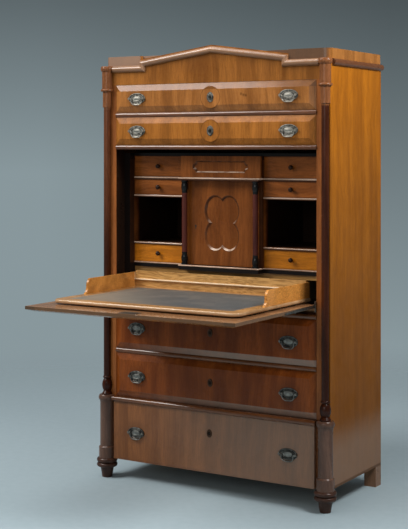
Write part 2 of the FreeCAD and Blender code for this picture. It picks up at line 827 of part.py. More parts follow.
def dovetail(side, play, near, length, foot):
    """A dovetail key under the tray, or with play the groove for it."""
    neck = f"dovetail_neck / 2 + {play}"
    head = f"dovetail_width / 2 + {play}"
    top = f"{TRAY_LOW} + dovetail_height + {play}"
    middle = at_side(side, RUNNER_X)
    shape = outline(FRONT_VIEW, middle, near, "0", (minus(neck), foot),
                    [(neck, foot), (neck, TRAY_LOW), (head, top),
                     (minus(head), top), (minus(neck), TRAY_LOW)])
    return extruded(shape, length)


def tray():
    front = TRAY_FRONT
    share = f"tray_corner * {CORNER_SHARE}"
    plan = outline(PLAN_VIEW, "0", "0", TRAY_LOW, (minus(TRAY_HALF), "tray_set"),
                   [(minus(TRAY_HALF), f"{front} + tray_corner"),
                    (f"-({TRAY_HALF}) + {share}", f"{front} + {share}",
                     f"-({TRAY_HALF}) + tray_corner", front),
                    (f"{TRAY_HALF} - tray_corner", front),
                    (f"{TRAY_HALF} - {share}", f"{front} + {share}",
                     TRAY_HALF, f"{front} + tray_corner"),
                    (TRAY_HALF, "tray_set")])
    leather = (across(f"{TRAY_HALF} - leather_border"),
               (f"{front} + leather_border", "tray_set - leather_border"),
               (f"{TRAY_TOP} - leather_thick", TRAY_TOP))
    groove = f"tray_set - ({front}) - groove_stop"
    mouth = f"{TRAY_LOW} - slide_gap"
    grooves = [dovetail(side, "slide_gap", "tray_set", groove, mouth) for side in (-1, 1)]
    node("tray_board", cut(extruded(plan, "tray_thick"), board(*leather), *grooves))
    node("tray_leather", board(*leather))

    top = f"{TRAY_TOP} + gallery_height"
    tip = f"{front} + gallery_front"
    lean = "gallery_bow * gallery_sweep / gallery_height"
    walls = []
    for side in (-1, 1):
        shape = outline(SIDE_VIEW, at_side(side, TRAY_HALF) if side < 0 else f"{TRAY_HALF} - gallery_thick",
                        "0", "0", ("tray_set", TRAY_TOP),
                        [(tip, TRAY_TOP),
                         (f"{tip} + gallery_sweep / 4 + gallery_bow",
                          f"{TRAY_TOP} + gallery_height / 4 - {lean}",
                          f"{tip} + gallery_sweep / 2", f"{TRAY_TOP} + gallery_height / 2"),
                         (f"{tip} + 3 * gallery_sweep / 4 - gallery_bow",
                          f"{top} - gallery_height / 4 + {lean}", f"{tip} + gallery_sweep", top),
                         ("tray_set", top)])
        walls.append(extruded(shape, "gallery_thick"))
    inner = across(f"{TRAY_HALF} - gallery_thick")
    wall = "tray_set - gallery_thick"
    walls.append(board(inner, (wall, "tray_set"), (TRAY_TOP, f"{top} + gallery_back_rise")))
    ledge = f"{TRAY_TOP} + ledge_rise"
    nose = f"{wall} - ledge_out + ledge_height / 2"
    shape = outline(SIDE_VIEW, inner[0], "0", "0", (wall, f"{ledge} - ledge_height"),
                    [(nose, f"{ledge} - ledge_height"),
                     (f"{wall} - ledge_out", f"{ledge} - ledge_height / 2", nose, ledge), (wall, ledge)])
    walls.append(extruded(shape, f"2 * ({inner[1]})"))
    node("tray_gallery", *walls)

    keys = []
    runner_front = f"{front} + tray_runner_front"
    runner_length = f"-tray_runner_rear - ({runner_front})"
    for side in (-1, 1):
        x = on_side(side, f"{RUNNER_X} - tray_runner_width / 2", f"{RUNNER_X} + tray_runner_width / 2")
        batten = board(x, (runner_front, "-tray_runner_rear"), (FLAP_TOP, TRAY_LOW))
        key = dovetail(side, "0", "-tray_runner_rear", runner_length, f"{TRAY_LOW} - tray_gap / 2")
        keys.append(fuse(batten, key))
    node("tray_runners", *keys)


# Inner case

def inner_case():
    depth = ("shelf_front", INNER_BACK)
    tall = (SILL, f"{INNER_TOP} + inner_top_thick")
    boards = [board(on_side(side, INNER_HALF, f"{INNER_HALF} + inner_side_thick"),
                    ("post_depth", f"{INNER_BACK} + inner_back_thick"), tall) for side in (-1, 1)]
    back_depth = (INNER_BACK, f"{INNER_BACK} + inner_back_thick")
    boards.append(board(across(INNER_HALF), back_depth, (BASE, tall[1])))
    boards.append(board(across(INNER_HALF), depth, (INNER_TOP, tall[1])))
    inner = f"{CENTRE_HALF} - partition_thick"
    for side in (-1, 1):
        for low, high in ((LOW_CELL, HEAD_SHELF), (TOP_CELL, INNER_TOP)):
            boards.append(board(on_side(side, inner, CENTRE_HALF), ("centre_front", INNER_BACK),
                                (low, high)))
        for low in (LOW_SHELF, MIDDLE_SHELF):
            boards.append(board(on_side(side, CENTRE_HALF, INNER_HALF), depth,
                                (low, f"{low} + shelf_thick")))
    for low, high in ((BASE, LOW_CELL), (HEAD_SHELF, TOP_CELL)):
        boards.append(board(across(INNER_HALF), depth, (low, high)))
        boards.append(board(across(CENTRE_HALF), ("centre_ledge", "shelf_front"), (low, high)))
    node("inner_case", *boards)
    node("inner_apron", board(across(INNER_HALF), ("apron_set", "apron_set + apron_thick"),
                              (f"{BASE} - apron_height", BASE)))


def centre():
    inner = f"{CENTRE_HALF} - partition_thick"
    panel_back = "frieze_panel_front + frieze_panel_thick"
    pieces = [board(on_side(side, f"{inner} - door_frame_width", inner),
                    ("centre_front", "centre_front + door_frame_thick"), (LOW_CELL, HEAD_SHELF))
              for side in (-1, 1)]
    panel = board(across(CENTRE_HALF), ("frieze_panel_front", panel_back), (TOP_CELL, INNER_TOP))
    middle = f"({TOP_CELL} + {INNER_TOP}) / 2"
    floor = "frieze_panel_front + plaque_depth"
    pieces.append(cut(panel, extruded(plaque("0", floor, middle), "plaque_depth")))
    node("centre_front", *pieces)
    hollow = lofted(plaque("plaque_edge_flat", "frieze_panel_front", middle),
                    plaque("plaque_bead", floor, middle))
    node("frieze_plaque", cut(extruded(plaque("0", floor, middle), "plaque_depth"), hollow))

    height = f"{HEAD_SHELF} - ({LOW_CELL})"
    low_bulge = "colonnette_foot_height + colonnette_bulge_height"
    high_foot = f"{height} - colonnette_foot_height"
    high_bulge = f"{high_foot} - colonnette_bulge_height"
    profile = [
        ("colonnette_foot_radius", "0"), ("colonnette_foot_radius", "colonnette_foot_height"),
        ("colonnette_radius", "colonnette_foot_height"),
        ("colonnette_bulge_radius", f"(colonnette_foot_height + {low_bulge}) / 2",
         "colonnette_radius", low_bulge),
        ("colonnette_radius", high_bulge),
        ("colonnette_bulge_radius", f"({high_bulge} + {high_foot}) / 2", "colonnette_radius", high_foot),
        ("colonnette_foot_radius", high_foot), ("colonnette_foot_radius", height), ("0", height),
    ]
    axis = f"{CENTRE_HALF} - colonnette_inset"
    pair = [turned(profile, at_side(side, axis), "colonnette_set", LOW_CELL) for side in (-1, 1)]
    node("colonnettes", *pair)


def plaque(inset, depth, level):
    """The outline with scooped corners of the sunken field in the frieze panel."""
    wide = f"{CENTRE_HALF} - plaque_margin - {inset}"
    tall = f"top_cell / 2 - plaque_edge - {inset}"
    scoop = f"plaque_scoop * (1 - {CORNER_SHARE})"
    start = (minus(wide), f"-({tall}) + plaque_scoop")
    return outline(FRONT_VIEW, "0", depth, level, start, [
        (f"-({wide}) + {scoop}", f"-({tall}) + {scoop}", f"-({wide}) + plaque_scoop", minus(tall)),
        (f"{wide} - plaque_scoop", minus(tall)),
        (f"{wide} - {scoop}", f"-({tall}) + {scoop}", wide, f"-({tall}) + plaque_scoop"),
        (wide, f"{tall} - plaque_scoop"),
        (f"{wide} - {scoop}", f"{tall} - {scoop}", f"{wide} - plaque_scoop", tall),
        (f"-({wide}) + plaque_scoop", tall),
        (f"-({wide}) + {scoop}", f"{tall} - {scoop}", minus(wide), f"{tall} - plaque_scoop")])


# Cupboard door

def door_half():
    return f"{CENTRE_HALF} - partition_thick - door_frame_width - door_gap"


def four_lobes(inset, depth, level):
    """A four-lobed outline: a cusp in the middle of each side and a lobe at each corner."""
    side_cusp = f"lobe_side_cusp - 1.4 * {inset}"
    top_cusp = f"lobe_top_cusp - 1.4 * {inset}"
    corner = (f"lobe_corner_x - 0.7 * {inset}", f"lobe_corner_z - 0.7 * {inset}")
    widest = (f"lobe_half_width - {inset}", "lobe_wide_level")
    highest = ("lobe_high_set", f"lobe_half_height - {inset}")
    steps = []
    for x, z, upwards in ((1, 1, True), (-1, 1, False), (-1, -1, True), (1, -1, False)):
        turn, wide, high = [(at_side(x, right), at_side(z, up)) for right, up in (corner, widest, highest)]
        if upwards:
            steps += [wide + turn, high + ("0", at_side(z, top_cusp))]
        else:
            steps += [high + turn, wide + (at_side(x, side_cusp), "0")]
    return outline(FRONT_VIEW, "0", depth, level, (side_cusp, "0"), steps)


def door():
    low = f"{LOW_CELL} + door_gap"
    high = f"{HEAD_SHELF} - door_gap"
    panel = board(across(door_half()), ("centre_front", "centre_front + door_thick"), (low, high))
    level = f"({LOW_CELL} + {HEAD_SHELF}) / 2"
    floor = "centre_front + lobe_depth"
    node("door_panel", cut(panel, extruded(four_lobes("0", floor, level), "lobe_depth")))
    hollow = lofted(four_lobes("lobe_edge_flat", "centre_front", level),
                    four_lobes("lobe_bead", floor, level))
    node("door_moulding", cut(extruded(four_lobes("0", floor, level), "lobe_depth"), hollow))
    node("door_hinges", *door_knuckles(1))


def door_knuckles(half):
    """Lower halves (0) stay on the frame and upper halves (1) turn with the door."""
    level = (f"{LOW_CELL} + knuckle_set", f"{HEAD_SHELF} - knuckle_set - 2 * knuckle_height")
    x = f"{door_half()} + door_gap / 2"
    return [rod("knuckle_radius", "knuckle_height", x, "centre_front - knuckle_radius",
                f"{low} + {half} * knuckle_height", PLAN_VIEW) for low in level]


# Small drawers

def small_drawer(name, side, low, cell):
    x = on_side(side, f"{CENTRE_HALF} + small_gap", f"{INNER_HALF} - small_gap")
    inner = on_side(side, f"{CENTRE_HALF} + small_gap + small_side_thick",
                    f"{INNER_HALF} - small_gap - small_side_thick")
    back_face = "inner_front + small_front_thick"
    rear = f"{INNER_BACK} - small_rear_gap"
    base = f"{low} + slide_gap"
    floor = f"{base} + small_bottom_thick"
    top = f"{low} + {cell} - small_headroom"
    middle = f"({x[0]} + {x[1]}) / 2"
    knob = [
        ("knob_neck_radius", "0"), ("knob_neck_radius", "knob_neck_length"),
        ("knob_radius", "(knob_neck_length + knob_length) / 2", "knob_neck_radius", "knob_length"),
        ("0", "knob_length"),
    ]
    node(name,
         board(x, ("inner_front", back_face), (base, f"{low} + {cell} - small_gap")),
         board((x[0], inner[0]), (back_face, rear), (base, top)),
         board((inner[1], x[1]), (back_face, rear), (base, top)),
         board(inner, (f"{rear} - small_side_thick", rear), (floor, top)),
         board(inner, (back_face, rear), (base, floor)),
         turned(knob, middle, "inner_front", f"{low} + {cell} / 2", ALONG_MINUS_Y))


carcase()
back()
dust_boards()
rails()
crown()
columns()
drawer("drawer_1", LOW_1, TOP_1, "upper_key_rise", True)
drawer("drawer_2", LOW_2, TOP_2, "upper_key_rise", True)
drawer("drawer_a", LOW_A, TOP_A, "lower_key_rise", False)
drawer("drawer_b", LOW_B, TOP_B, "lower_key_rise", False)
plinth_drawer()
flap()
tray()
inner_case()
centre()
door()
for word, side in (("left", -1), ("right", 1)):
    small_drawer(f"small_drawer_low_{word}", side, LOW_CELL, "low_cell")
    small_drawer(f"small_drawer_middle_{word}", side, MIDDLE_CELL, "middle_cell")
    small_drawer(f"small_drawer_top_{word}", side, TOP_CELL, "top_cell")

doc.recompute()
for thing in doc.Objects:
    if "Invalid" in thing.State or "Error" in thing.State:
        raise RuntimeError(f"{thing.Name} failed: {thing.State}")
for thing in nodes:
    if thing.Shape.isNull() or not thing.Shape.isValid():
        raise RuntimeError(f"{thing.Label} is not a valid shape")

os.makedirs("parts", exist_ok=True)
for thing in nodes:
    thing.Shape.exportStep(f"parts/{thing.Label}.step")
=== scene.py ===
import functools
import math

import bmesh
import bpy
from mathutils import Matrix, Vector

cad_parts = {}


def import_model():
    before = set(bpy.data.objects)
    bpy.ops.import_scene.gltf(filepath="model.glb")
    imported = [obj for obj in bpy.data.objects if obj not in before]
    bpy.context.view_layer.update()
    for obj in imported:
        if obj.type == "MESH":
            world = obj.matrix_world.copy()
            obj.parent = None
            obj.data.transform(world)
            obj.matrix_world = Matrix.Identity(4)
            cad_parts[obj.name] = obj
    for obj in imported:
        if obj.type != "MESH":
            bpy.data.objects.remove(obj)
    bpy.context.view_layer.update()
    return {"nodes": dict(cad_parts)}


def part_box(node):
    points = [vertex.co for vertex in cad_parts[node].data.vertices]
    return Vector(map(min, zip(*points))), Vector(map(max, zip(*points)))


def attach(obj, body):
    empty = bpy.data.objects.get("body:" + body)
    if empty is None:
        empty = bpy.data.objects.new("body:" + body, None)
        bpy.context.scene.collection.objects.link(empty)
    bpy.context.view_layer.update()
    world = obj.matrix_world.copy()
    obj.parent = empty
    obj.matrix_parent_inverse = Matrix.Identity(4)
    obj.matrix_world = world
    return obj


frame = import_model()
NODES = frame["nodes"]

DRAWERS = ("drawer_1", "drawer_2", "drawer_a", "drawer_b", "plinth_drawer")
SMALL_DRAWERS = [f"small_drawer_{level}_{side}" for level in ("low", "middle", "top") for side in ("left", "right")]
UPPER = DRAWERS[:2]
SIDES = (("left", -1), ("right", 1))

# Sizes that the solids have, in metres: an oval by its half width and half height, a keyhole by its level
PLATE = (0.040, 0.0225)
PLATE_THICK = 0.002
BOSS = (0.020, 0.010)
BOSS_THICK = 0.002
BAIL_OUT = 0.007
BAIL_DROP = 0.025
BAIL_RADIUS = 0.002
ESCUTCHEON = (0.011, 0.016)
KEYS = {"drawer_1": 1.553, "drawer_2": 1.421, "drawer_a": 0.629, "drawer_b": 0.433, "plinth_drawer": 0.236}
KNOB_LENGTH = 0.021
KEY_DISC = 0.044
BEVEL = 0.025
POST_WIDTH = 0.035
DRUM_LEVEL = 1.512
GALLERY_THICK = 0.010
LEDGE_OUT = 0.008
LEDGE_RISE = 0.034
INNER_FRAME = (0.028, 0.026)
BASE_EDGE = 0.8785
TRAY_CORNER = 0.035

# Sizes that only the finishes have
LINED_FROM = 0.012
CLAMP_WIDTH = 0.045
COLONNETTE_END = 0.050
REAR_FEET_FROM = 0.30

# Tones of the woods: dark, light
SIDE = ((0.265, 0.083, 0.0045), (0.41, 0.136, 0.0075))
POST = ((0.205, 0.065, 0.017), (0.40, 0.132, 0.034))
SHAFT = ((0.024, 0.0056, 0.0022), (0.066, 0.0165, 0.0056))
# Paler tone of the left shaft's upper half: painted light
LIT_SHAFT = ((0.075, 0.023, 0.009), (0.15, 0.050, 0.019))
DRUM = ((0.085, 0.029, 0.010), (0.20, 0.074, 0.027))
FOOT = ((0.038, 0.017, 0.011), (0.094, 0.042, 0.027))
BLOCK = ((0.14, 0.070, 0.038), (0.26, 0.140, 0.080))
PLINTH_COLUMN = ((0.092, 0.045, 0.029), (0.195, 0.105, 0.070))
RAIL = ((0.10, 0.034, 0.012), (0.20, 0.072, 0.026))
GABLE = ((0.180, 0.061, 0.011), (0.35, 0.130, 0.025))
# Pale moulding tone, partly a painted highlight
MOULDING = ((0.21, 0.100, 0.046), (0.40, 0.210, 0.108))
ATTIC = ((0.22, 0.082, 0.016), (0.40, 0.160, 0.036))
GALLERY = ((0.33, 0.130, 0.026), (0.62, 0.260, 0.056))
TAN = ((0.31, 0.155, 0.046), (0.62, 0.345, 0.118))
INNER = ((0.145, 0.042, 0.0085), (0.33, 0.101, 0.0215))
ORANGE = ((0.32, 0.103, 0.007), (0.62, 0.214, 0.015))
LINING = ((0.20, 0.105, 0.045), (0.37, 0.215, 0.10))
FLAP = ((0.185, 0.083, 0.034), (0.40, 0.200, 0.092))
VENEER = ((0.185, 0.062, 0.011), (0.38, 0.134, 0.024))
COLONNETTE = ((0.050, 0.0105, 0.0080), (0.105, 0.024, 0.0150))
TRAY = ((0.26, 0.125, 0.042), (0.50, 0.265, 0.105))
# Pale tone of the tray's nosing, partly a painted highlight
TRAY_EDGE = ((0.34, 0.185, 0.080), (0.60, 0.380, 0.205))
# Pale tone of the shelf nosings: painted highlight
NOSING = ((0.42, 0.265, 0.180), (0.72, 0.52, 0.39))

# Tones of each large drawer front, the weight of its polish and the share of its grey painted reflection of the floor
FRONTS = {
    "drawer_1": ((0.235, 0.084, 0.018), (0.46, 0.182, 0.046), 0.34, 0.0),
    "drawer_2": ((0.220, 0.078, 0.015), (0.43, 0.158, 0.029), 0.04, 0.0),
    "drawer_a": ((0.140, 0.030, 0.005), (0.29, 0.070, 0.012), 0.22, 0.62),
    "drawer_b": ((0.135, 0.030, 0.005), (0.27, 0.069, 0.012), 0.22, 0.50),
    "plinth_drawer": ((0.150, 0.048, 0.010), (0.29, 0.104, 0.029), 0.55, 0.31),
}
# How bright the two orange drawers are, the left one brighter as painted light; the other small drawers have the inner
# tone times INNER_FRONT
ORANGE_FRONTS = {"small_drawer_low_left": 1.35, "small_drawer_low_right": 0.95}
INNER_FRONT = 1.15
BACK_SHADE = 0.62

# Single colours
BLACK = (0.006, 0.0052, 0.0048)
# Grey painted reflection of the floor, on the drawer fronts and the foot of the sides
REFLECTED_GREY = (0.33, 0.265, 0.215)
FLANK = (0.085, 0.026, 0.009)
# Front of the attic paler to the left and darker to the right: painted reflection
ATTIC_LEFT = (0.250, 0.165, 0.120)
ATTIC_RIGHT = (0.080, 0.050, 0.035)
SPOT = (0.02, 0.012, 0.008)
# Brighter tone on the right gallery wall: painted light
GALLERY_RIGHT = (0.80, 0.345, 0.075)
# Pale nose of the gallery ledge: painted highlight
LEDGE_HIGHLIGHT = (0.66, 0.50, 0.33)
# Pale tone of the upward-facing recess linings: painted highlight
RECESS_HIGHLIGHT = (0.62, 0.45, 0.33)
# Dark shelf fronts under the nosings: painted shade
SHELF_EDGE = (0.022, 0.010, 0.007)
KNOB = (0.030, 0.013, 0.007)
FLAP_EDGE = (0.042, 0.016, 0.008)
END_GRAIN = (0.012, 0.006, 0.005)
CLAMP_JOINT = (0.04, 0.016, 0.006)
FLAP_RUBBED = (0.34, 0.20, 0.105)
BRIGHT = (0.40, 0.375, 0.322)
DULL = (0.036, 0.033, 0.028)
# Darker brass tones for the lower drawers' handles, a painted shade; also used for the brass of the flap, pivots and
# door
LOW_BRIGHT = (0.25, 0.238, 0.212)
LOW_DULL = (0.024, 0.022, 0.020)
# Brown given to the escutcheons of the lower drawers
KEY_BROWN = (0.085, 0.042, 0.024)
HOLE_DARK = (0.003, 0.0028, 0.0026)
HOLE_DUST = (0.010, 0.009, 0.008)
LEATHER_DARK = (0.035, 0.042, 0.046)
LEATHER_LIGHT = (0.069, 0.082, 0.086)
LEATHER_WORN = (0.116, 0.126, 0.128)
LEATHER_RUBBED = (0.255, 0.205, 0.150)
LEATHER_BLOT = (0.028, 0.028, 0.030)
LEATHER_TOOLED = (0.020, 0.018, 0.016)
FLOOR_DARK = (0.365, 0.465, 0.510)
FLOOR_LIGHT = (0.385, 0.485, 0.530)

# Flaws, as (x, z) points: in the veneer of the top drawer and on the front of the attic
KNOTS = [(0.140, 1.563), (0.151, 1.559), (0.161, 1.557)]
ATTIC_SPOT = (0.385, 1.742)


# Node trees

class Graph:
    """A material's node tree in short calls. A value is a number, a tuple or the output of another node."""

    def __init__(self, name):
        self.material = bpy.data.materials.new(name)
        self.material.use_nodes = True
        self.tree = self.material.node_tree
        self.shader = self.tree.nodes["Principled BSDF"]
        self.place = self.node("ShaderNodeTexCoord").outputs["Object"]

    def node(self, kind, **settings):
        made = self.tree.nodes.new(kind)
        for key, value in settings.items():
            setattr(made, key, value)
        return made

    def put(self, socket, value):
        if isinstance(value, bpy.types.NodeSocket):
            self.tree.links.new(value, socket)
        else:
            socket.default_value = value

    def fill(self, made, *values):
        for socket, value in zip(made.inputs, values):
            self.put(socket, value)
        return made.outputs[0]

    def math(self, operation, *values):
        return self.fill(self.node("ShaderNodeMath", operation=operation), *values)

    def vector(self, operation, *values):
        return self.fill(self.node("ShaderNodeVectorMath", operation=operation), *values)

    def times(self, vector, share):
        made = self.node("ShaderNodeVectorMath", operation="SCALE")
        self.put(made.inputs[0], vector)
        self.put(made.inputs["Scale"], share)
        return made.outputs[0]

    def length(self, vector):
        made = self.node("ShaderNodeVectorMath", operation="LENGTH")
        self.put(made.inputs[0], vector)
        return made.outputs["Value"]

    def axis(self, index, place=None):
        split = self.node("ShaderNodeSeparateXYZ")
        self.put(split.inputs[0], self.place if place is None else place)
        return split.outputs[index]

    def facing(self, index):
        """How far the surface faces along an axis."""
        return self.axis(index, self.node("ShaderNodeTexCoord").outputs["Normal"])

    def noise(self, place, scale, detail=2.0, rough=0.5, output=0):
        made = self.node("ShaderNodeTexNoise")
        self.put(made.inputs["Vector"], place)
        made.inputs["Scale"].default_value = scale
        made.inputs["Detail"].default_value = detail
        made.inputs["Roughness"].default_value = rough
        return made.outputs[output]

    def cells(self, place, scale, feature="F1"):
        made = self.node("ShaderNodeTexVoronoi", feature=feature)
        self.put(made.inputs["Vector"], place)
        made.inputs["Scale"].default_value = scale
        return made.outputs["Distance"]

    def between(self, value, low, high, to_low=0.0, to_high=1.0):
        """The value on a smooth step from low to high."""
        made = self.node("ShaderNodeMapRange", interpolation_type="SMOOTHSTEP")
        return self.fill(made, value, low, high, to_low, to_high)

    def mix(self, share, first, second):
        made = self.node("ShaderNodeMix", data_type="RGBA")
        self.put(made.inputs[0], share)
        self.put(made.inputs[6], colour(first))
        self.put(made.inputs[7], colour(second))
        return made.outputs[2]

    def beyond(self, index, level, soft=0.0006):
        """1 past a level on an axis; with a negative soft edge, 1 before it."""
        return self.between(self.axis(index), level - soft / 2, level + soft / 2)

    def aside(self, level, soft=0.0006):
        """1 where the distance from the middle plane is more than the level."""
        return self.between(self.math("ABSOLUTE", self.axis(0)), level - soft / 2, level + soft / 2)

    def both(self, first, second):
        return self.math("MULTIPLY", first, second)

    def either(self, first, second):
        return self.math("MAXIMUM", first, second)

    def any_of(self, values):
        return functools.reduce(self.either, values)

    def sum(self, first, second):
        return self.math("ADD", first, second)

    def without(self, share):
        return self.math("SUBTRACT", 1.0, share)

    def bump(self, height, depth, strength=1.0):
        made = self.node("ShaderNodeBump")
        made.inputs["Strength"].default_value = strength
        made.inputs["Distance"].default_value = depth
        self.put(made.inputs["Height"], height)
        self.put(self.shader.inputs["Normal"], made.outputs[0])

    def finish(self, **values):
        for key, value in values.items():
            self.put(self.shader.inputs[key.replace("_", " ")], value)
        return self.material


def colour(value):
    return (*value, 1.0) if isinstance(value, tuple) and len(value) == 3 else value


def scaled(value, share):
    return tuple(share * each for each in value)


def toned(tones, share):
    return tuple(scaled(tone, share) for tone in tones)


# Wood

ALONG = {"X": (0.045, 1.0, 1.0), "Y": (1.0, 0.045, 1.0), "Z": (1.0, 1.0, 0.045)}
SWAY_SCALE, SWAY_REACH = 2.6, 0.09
LINES_PER_RIBBON = 9.0
PORE_SCALE = 1500.0
CLOUD_SCALE = 3.1
POLISHED_DEPTH, BARE_DEPTH = 0.00012, 0.00025


def grain(g, along, seed, ribbon):
    """Shares from 0 to 1: the ribbons of the figure, the fine lines and the open pores."""
    place = g.vector("ADD", g.place, (seed, 0.37 * seed, 0.61 * seed))
    sway = g.vector("SUBTRACT", g.noise(place, SWAY_SCALE, output="Color"), (0.5, 0.5, 0.5))
    swayed = g.vector("ADD", place, g.times(sway, SWAY_REACH))
    drawn = g.vector("MULTIPLY", swayed, ALONG[along])
    ribbons = g.noise(drawn, ribbon, 3.0, 0.55)
    lines = g.noise(drawn, ribbon * LINES_PER_RIBBON, 4.0, 0.6)
    pores = g.noise(drawn, PORE_SCALE, 1.0)
    clouds = g.noise(place, CLOUD_SCALE)
    figure = g.sum(g.both(ribbons, 0.62), g.both(clouds, 0.38))
    return g.between(figure, 0.33, 0.67), g.between(lines, 0.36, 0.68), g.between(pores, 0.60, 0.74)


def wood_base(g, tones, along, seed, ribbon):
    """The colour of bare wood, with its lines and pores. ribbon is how fine the figure is."""
    dark, light = tones
    figure, lines, pores = grain(g, along, seed, ribbon)
    base = g.mix(figure, dark, light)
    base = g.mix(g.both(lines, 0.34), base, scaled(dark, 0.45))
    return g.mix(g.both(pores, 0.45), base, scaled(dark, 0.22)), lines, pores


def lined(g, lines, share, tones):
    """A simpler wood that borrows the lines of another."""
    dark, light = tones
    return g.mix(g.both(lines, share), light, dark)


def polish(g, base, lines, pores, gloss, coat, haze=0.13):
    """French polish: a clear coat over wood whose pores show through a little."""
    smears = g.noise(g.place, 11.0, 4.0, 0.6)
    rough = g.sum(g.both(g.between(smears, 0.35, 0.75), 0.16), gloss)
    g.bump(g.sum(g.both(pores, -0.7), g.both(lines, -0.3)), POLISHED_DEPTH, 0.6)
    return g.finish(Base_Color=base, Roughness=rough, Specular_IOR_Level=0.06, Coat_Weight=coat,
                    Coat_Roughness=haze, Coat_IOR=1.5)


def near_edge(g, box, width, axes=(0, 2)):
    """1 on the edges of a box seen along the third axis, fading to 0 inside."""
    edges = []
    for axis in axes:
        middle = (box[0][axis] + box[1][axis]) / 2
        half = (box[1][axis] - box[0][axis]) / 2
        out = g.math("ABSOLUTE", g.math("SUBTRACT", g.axis(axis), middle))
        edges.append(g.between(out, half - width, half))
    return g.any_of(edges)


def near_points(g, points, inner, outer):
    """1 round each (x, z) point, fading to 0 at the outer distance."""
    spots = []
    for x, z in points:
        flat = g.vector("MULTIPLY", g.vector("SUBTRACT", g.place, (x, 0.0, z)), (1.0, 0.0, 1.0))
        spots.append(g.between(g.length(flat), outer, inner))
    return g.any_of(spots)


def wood(name, tones, along="Z", seed=0.0, ribbon=24.0, gloss=0.26, coat=0.4, haze=0.13):
    g = Graph(name)
    base, lines, pores = wood_base(g, tones, along, seed, ribbon)
    return polish(g, base, lines, pores, gloss, coat, haze)


def drawer_wood(name, seed):
    """A drawer front: darker along its edges and round the plates, as grime and painted shade, rubbed paler on the
    arrises.

    The upper fronts have a round disc at the key, ringed with painted shade, and a top bevel darkened with painted
    shade.
    The grey is a painted reflection of the floor: on the lower bevel of a bevelled front, to the right on the plain
    plinth.
    """
    dark, light, coat, reflection_share = FRONTS[name]
    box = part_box(f"{name}_front")
    g = Graph(f"{name}_wood")
    base, lines, pores = wood_base(g, (dark, light), "Z", seed, 22.0)
    patchy = g.between(g.noise(g.place, 34.0, 3.0), 0.35, 0.65)
    # Darker along the edges: grime and painted shade
    grime_and_shade = g.both(near_edge(g, box, 0.012), g.sum(g.both(patchy, 0.35), 0.15))
    base = g.mix(grime_and_shade, base, scaled(dark, 0.35))
    base = g.mix(g.both(near_edge(g, box, 0.0016), g.both(patchy, 0.55)), base, scaled(light, 1.35))
    # Darker round the plates: hand grime and painted shadow of the handles
    touched_and_shaded = g.both(near_points(g, drawer_handles(name), 0.030, 0.062), 0.38)
    base = g.mix(touched_and_shaded, base, scaled(dark, 0.55))
    if name in UPPER:
        key = [(0.0, KEYS[name])]
        inner = near_points(g, key, KEY_DISC - 0.0030, KEY_DISC - 0.0015)
        # A dark ring round the key disc: painted shade at its edge
        rim = g.both(near_points(g, key, KEY_DISC, KEY_DISC + 0.0035), g.without(inner))
        base = g.mix(g.both(rim, 0.45), base, scaled(dark, 0.35))
        # The top bevel darkened in step with the polish: painted shade that tones down its highlight
        top_bevel = g.beyond(2, box[1][2] - BEVEL, 0.002)
        base = g.mix(g.both(top_bevel, 2.0 * coat), base, scaled(dark, 0.6))
    if name == "drawer_1":
        base = g.mix(g.both(near_points(g, KNOTS, 0.0015, 0.0085), 0.6), base, scaled(dark, 0.25))
    # Grey painted reflection of the floor
    if name == "plinth_drawer":
        reflected = g.between(g.axis(0), -0.42, 0.25)
    else:
        reflected = g.both(g.beyond(2, box[0][2] + BEVEL, -0.002), g.between(g.axis(0), -0.5, 0.1))
    base = g.mix(g.both(reflected, reflection_share), base, REFLECTED_GREY)
    return polish(g, base, lines, pores, 0.24, coat)


def lining(name, tones, along, seed):
    """Plain unpolished boards with a few stains."""
    g = Graph(name)
    base, lines, pores = wood_base(g, tones, along, seed, 15.0)
    stains = g.between(g.noise(g.place, 5.0, 4.0, 0.65), 0.52, 0.78)
    base = g.mix(g.both(stains, 0.45), base, scaled(tones[0], 0.5))
    g.bump(g.sum(g.both(lines, -0.6), g.both(pores, -0.4)), BARE_DEPTH)
    return g.finish(Base_Color=base, Roughness=g.between(lines, 0.0, 1.0, 0.62, 0.8))


def side_wood():
    """The large side boards: darker towards the bottom as painted shade, with a grey painted reflection of the floor
    near it and a painted shade line along the bottom edge.
    """
    g = Graph("side_wood")
    base, lines, pores = wood_base(g, SIDE, "Z", 1.0, 26.0)
    low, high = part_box("side_panel_left")
    # Darker towards the bottom: painted shade
    shade = g.between(g.axis(2), high[2], low[2])
    base = g.mix(g.both(shade, 0.65), base, scaled(SIDE[0], 0.42))
    # Grey near the floor: painted reflection of the floor
    base = g.mix(g.both(g.between(g.axis(2), 0.34, 0.20), 0.36), base, REFLECTED_GREY)
    # A darker strip along the bottom edge: painted shade
    base = g.mix(g.both(g.beyond(2, low[2] + 0.010, -0.002), 0.7), base, scaled(SIDE[0], 0.25))
    return polish(g, base, lines, pores, 0.34, 0.08)


def post_wood():
    """Posts whose reveals beside the writing compartment are painted black as shade."""
    g = Graph("post_wood")
    base, lines, pores = wood_base(g, POST, "Z", 5.0, 24.0)
    low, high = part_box("corner_posts")
    # The reveals painted black: painted shade
    reveal = g.both(g.without(g.aside(high[0] - POST_WIDTH + 0.0006)), g.beyond(1, low[1] + 0.003))
    return polish(g, g.mix(g.both(reveal, 0.95), base, BLACK), lines, pores, 0.26, 0.2)


